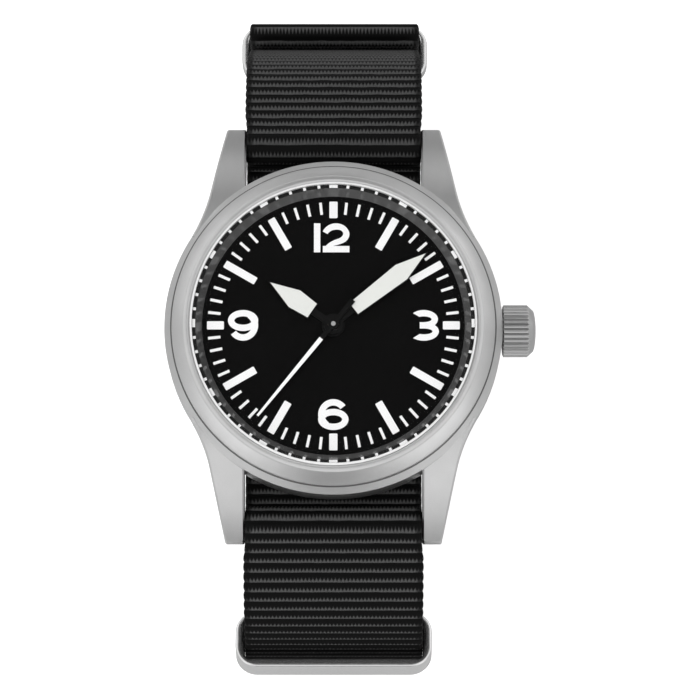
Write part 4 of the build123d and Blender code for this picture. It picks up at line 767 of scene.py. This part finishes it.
floor_gap = 0.0001
floor_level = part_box("buckle_frame")[0][2] - floor_gap
floor_mesh = bmesh.new()
bmesh.ops.create_grid(floor_mesh, x_segments=1, y_segments=1, size=3.0)
bmesh.ops.translate(floor_mesh, verts=floor_mesh.verts, vec=(0, 0, floor_level))
floor_data = bpy.data.meshes.new("floor")
floor_mesh.to_mesh(floor_data)
floor_mesh.free()
floor = bpy.data.objects.new("floor", floor_data)
bpy.context.scene.collection.objects.link(floor)
floor_finish = Finish("pale_floor", (0.5, 0.5, 0.5), 0.8, 0.0, Emission_Strength=1.0,
                      Specular_IOR_Level=0.0)
floor_seen = floor_finish.node("ShaderNodeLightPath", {}, {}, "Is Camera Ray")
floor_finish.feed(Emission_Color=floor_finish.blend(floor_seen * 0.74, grey(0.0), grey(1.0)))
floor_data.materials.append(floor_finish.material)


# Sky: white where the camera looks past the watch. The metal mirrors a studio tent,
# grey near the floor, with a dark camera and boom high up on the side of 12 o'clock.

world = bpy.data.worlds.new("studio")
bpy.context.scene.world = world
world.use_nodes = True
sky = Nodes(world.node_tree)
toward = sky.node("ShaderNodeTexCoord", {}, {}, "Generated")
east = sky.axis(toward, "X")
north = sky.axis(toward, "Y")
height = sky.axis(toward, "Z")
level_square = (east * east + north * north).math("MAXIMUM", 0.0001)
sideways = east * east / level_square
diagonal = (east * north / level_square * 2).math("ABSOLUTE") ** 2
low_sky = 0.17 + sideways * 0.58 + diagonal * 0.95
rise = sky.ramp(height, 0.14, 0.80)
boom = (1 - sky.ramp(east.math("ABSOLUTE"), 0.15, 0.30)) * sky.ramp(north, 0.0, 0.1)
boom = boom * sky.ramp(height, 0.62, 0.66) * (1 - sky.ramp(height, 0.90, 0.95))
overhead = north * 0.174 + height * 0.985
camera_patch = sky.ramp(overhead, 0.982, 0.992)
dark_share = 0.93
tent = low_sky * (1 - rise) + rise
tent = tent * (1 - camera_patch * dark_share) * (1 - boom * dark_share)
mirrored = sky.node("ShaderNodeLightPath", {}, {}, "Is Glossy Ray")
through_glass = sky.node("ShaderNodeLightPath", {}, {}, "Is Transmission Ray")
seen = sky.node("ShaderNodeLightPath", {}, {}, "Is Camera Ray").math("MAXIMUM", through_glass)
strength = seen + (1 - seen) * (mirrored * tent + (1 - mirrored) * 0.72)
background = world.node_tree.nodes["Background"]
sky.join(strength, background.inputs["Strength"])
sky.join(grey(1.0), background.inputs["Color"])


# Lamps: three soft ones from the front, the back and above. The metal doesn't
# mirror them, so that their edges don't show in it.

def softbox(name, place, aim, size, watts):
    """A square soft lamp at a place in metres, turned to its aim."""
    lamp = bpy.data.lights.new(name, "AREA")
    lamp.size = size
    lamp.energy = watts
    stand = bpy.data.objects.new(name, lamp)
    bpy.context.scene.collection.objects.link(stand)
    stand.location = place
    stand.rotation_euler = (Vector(aim) - Vector(place)).to_track_quat("-Z", "Y").to_euler()
    stand.visible_glossy = False


softbox("lamp_front", (0, -0.60, 0.10), (0, 0, 0), 0.40, 2.4)
softbox("lamp_back", (0, 0.60, 0.08), (0, 0, 0), 0.40, 1.4)
softbox("lamp_top", (-0.15, -0.10, 0.60), (0, 0, 0), 0.40, 1.9)


# Camera: a long lens on the side of 6 o'clock, high above the dial and aimed a
# little beside its middle, as in the photograph.

camera_distance = 0.45
camera_angle = math.radians(80)
aim_right = 0.001865
aim_down = 0.002764
camera = bpy.data.cameras.new("camera")
camera.sensor_width = 36
camera.lens = 206
eye = bpy.data.objects.new("camera", camera)
bpy.context.scene.collection.objects.link(eye)
back = Vector((0, -math.cos(camera_angle), math.sin(camera_angle)))
up = Vector((0, math.sin(camera_angle), math.cos(camera_angle)))
aim = Vector((aim_right, 0, dial_height / 1000)) - up * aim_down
eye.location = aim + back * camera_distance
eye.rotation_euler = (-back).to_track_quat("-Z", "Y").to_euler()
bpy.context.scene.camera = eye
bpy.context.scene.view_settings.view_transform = "Standard"
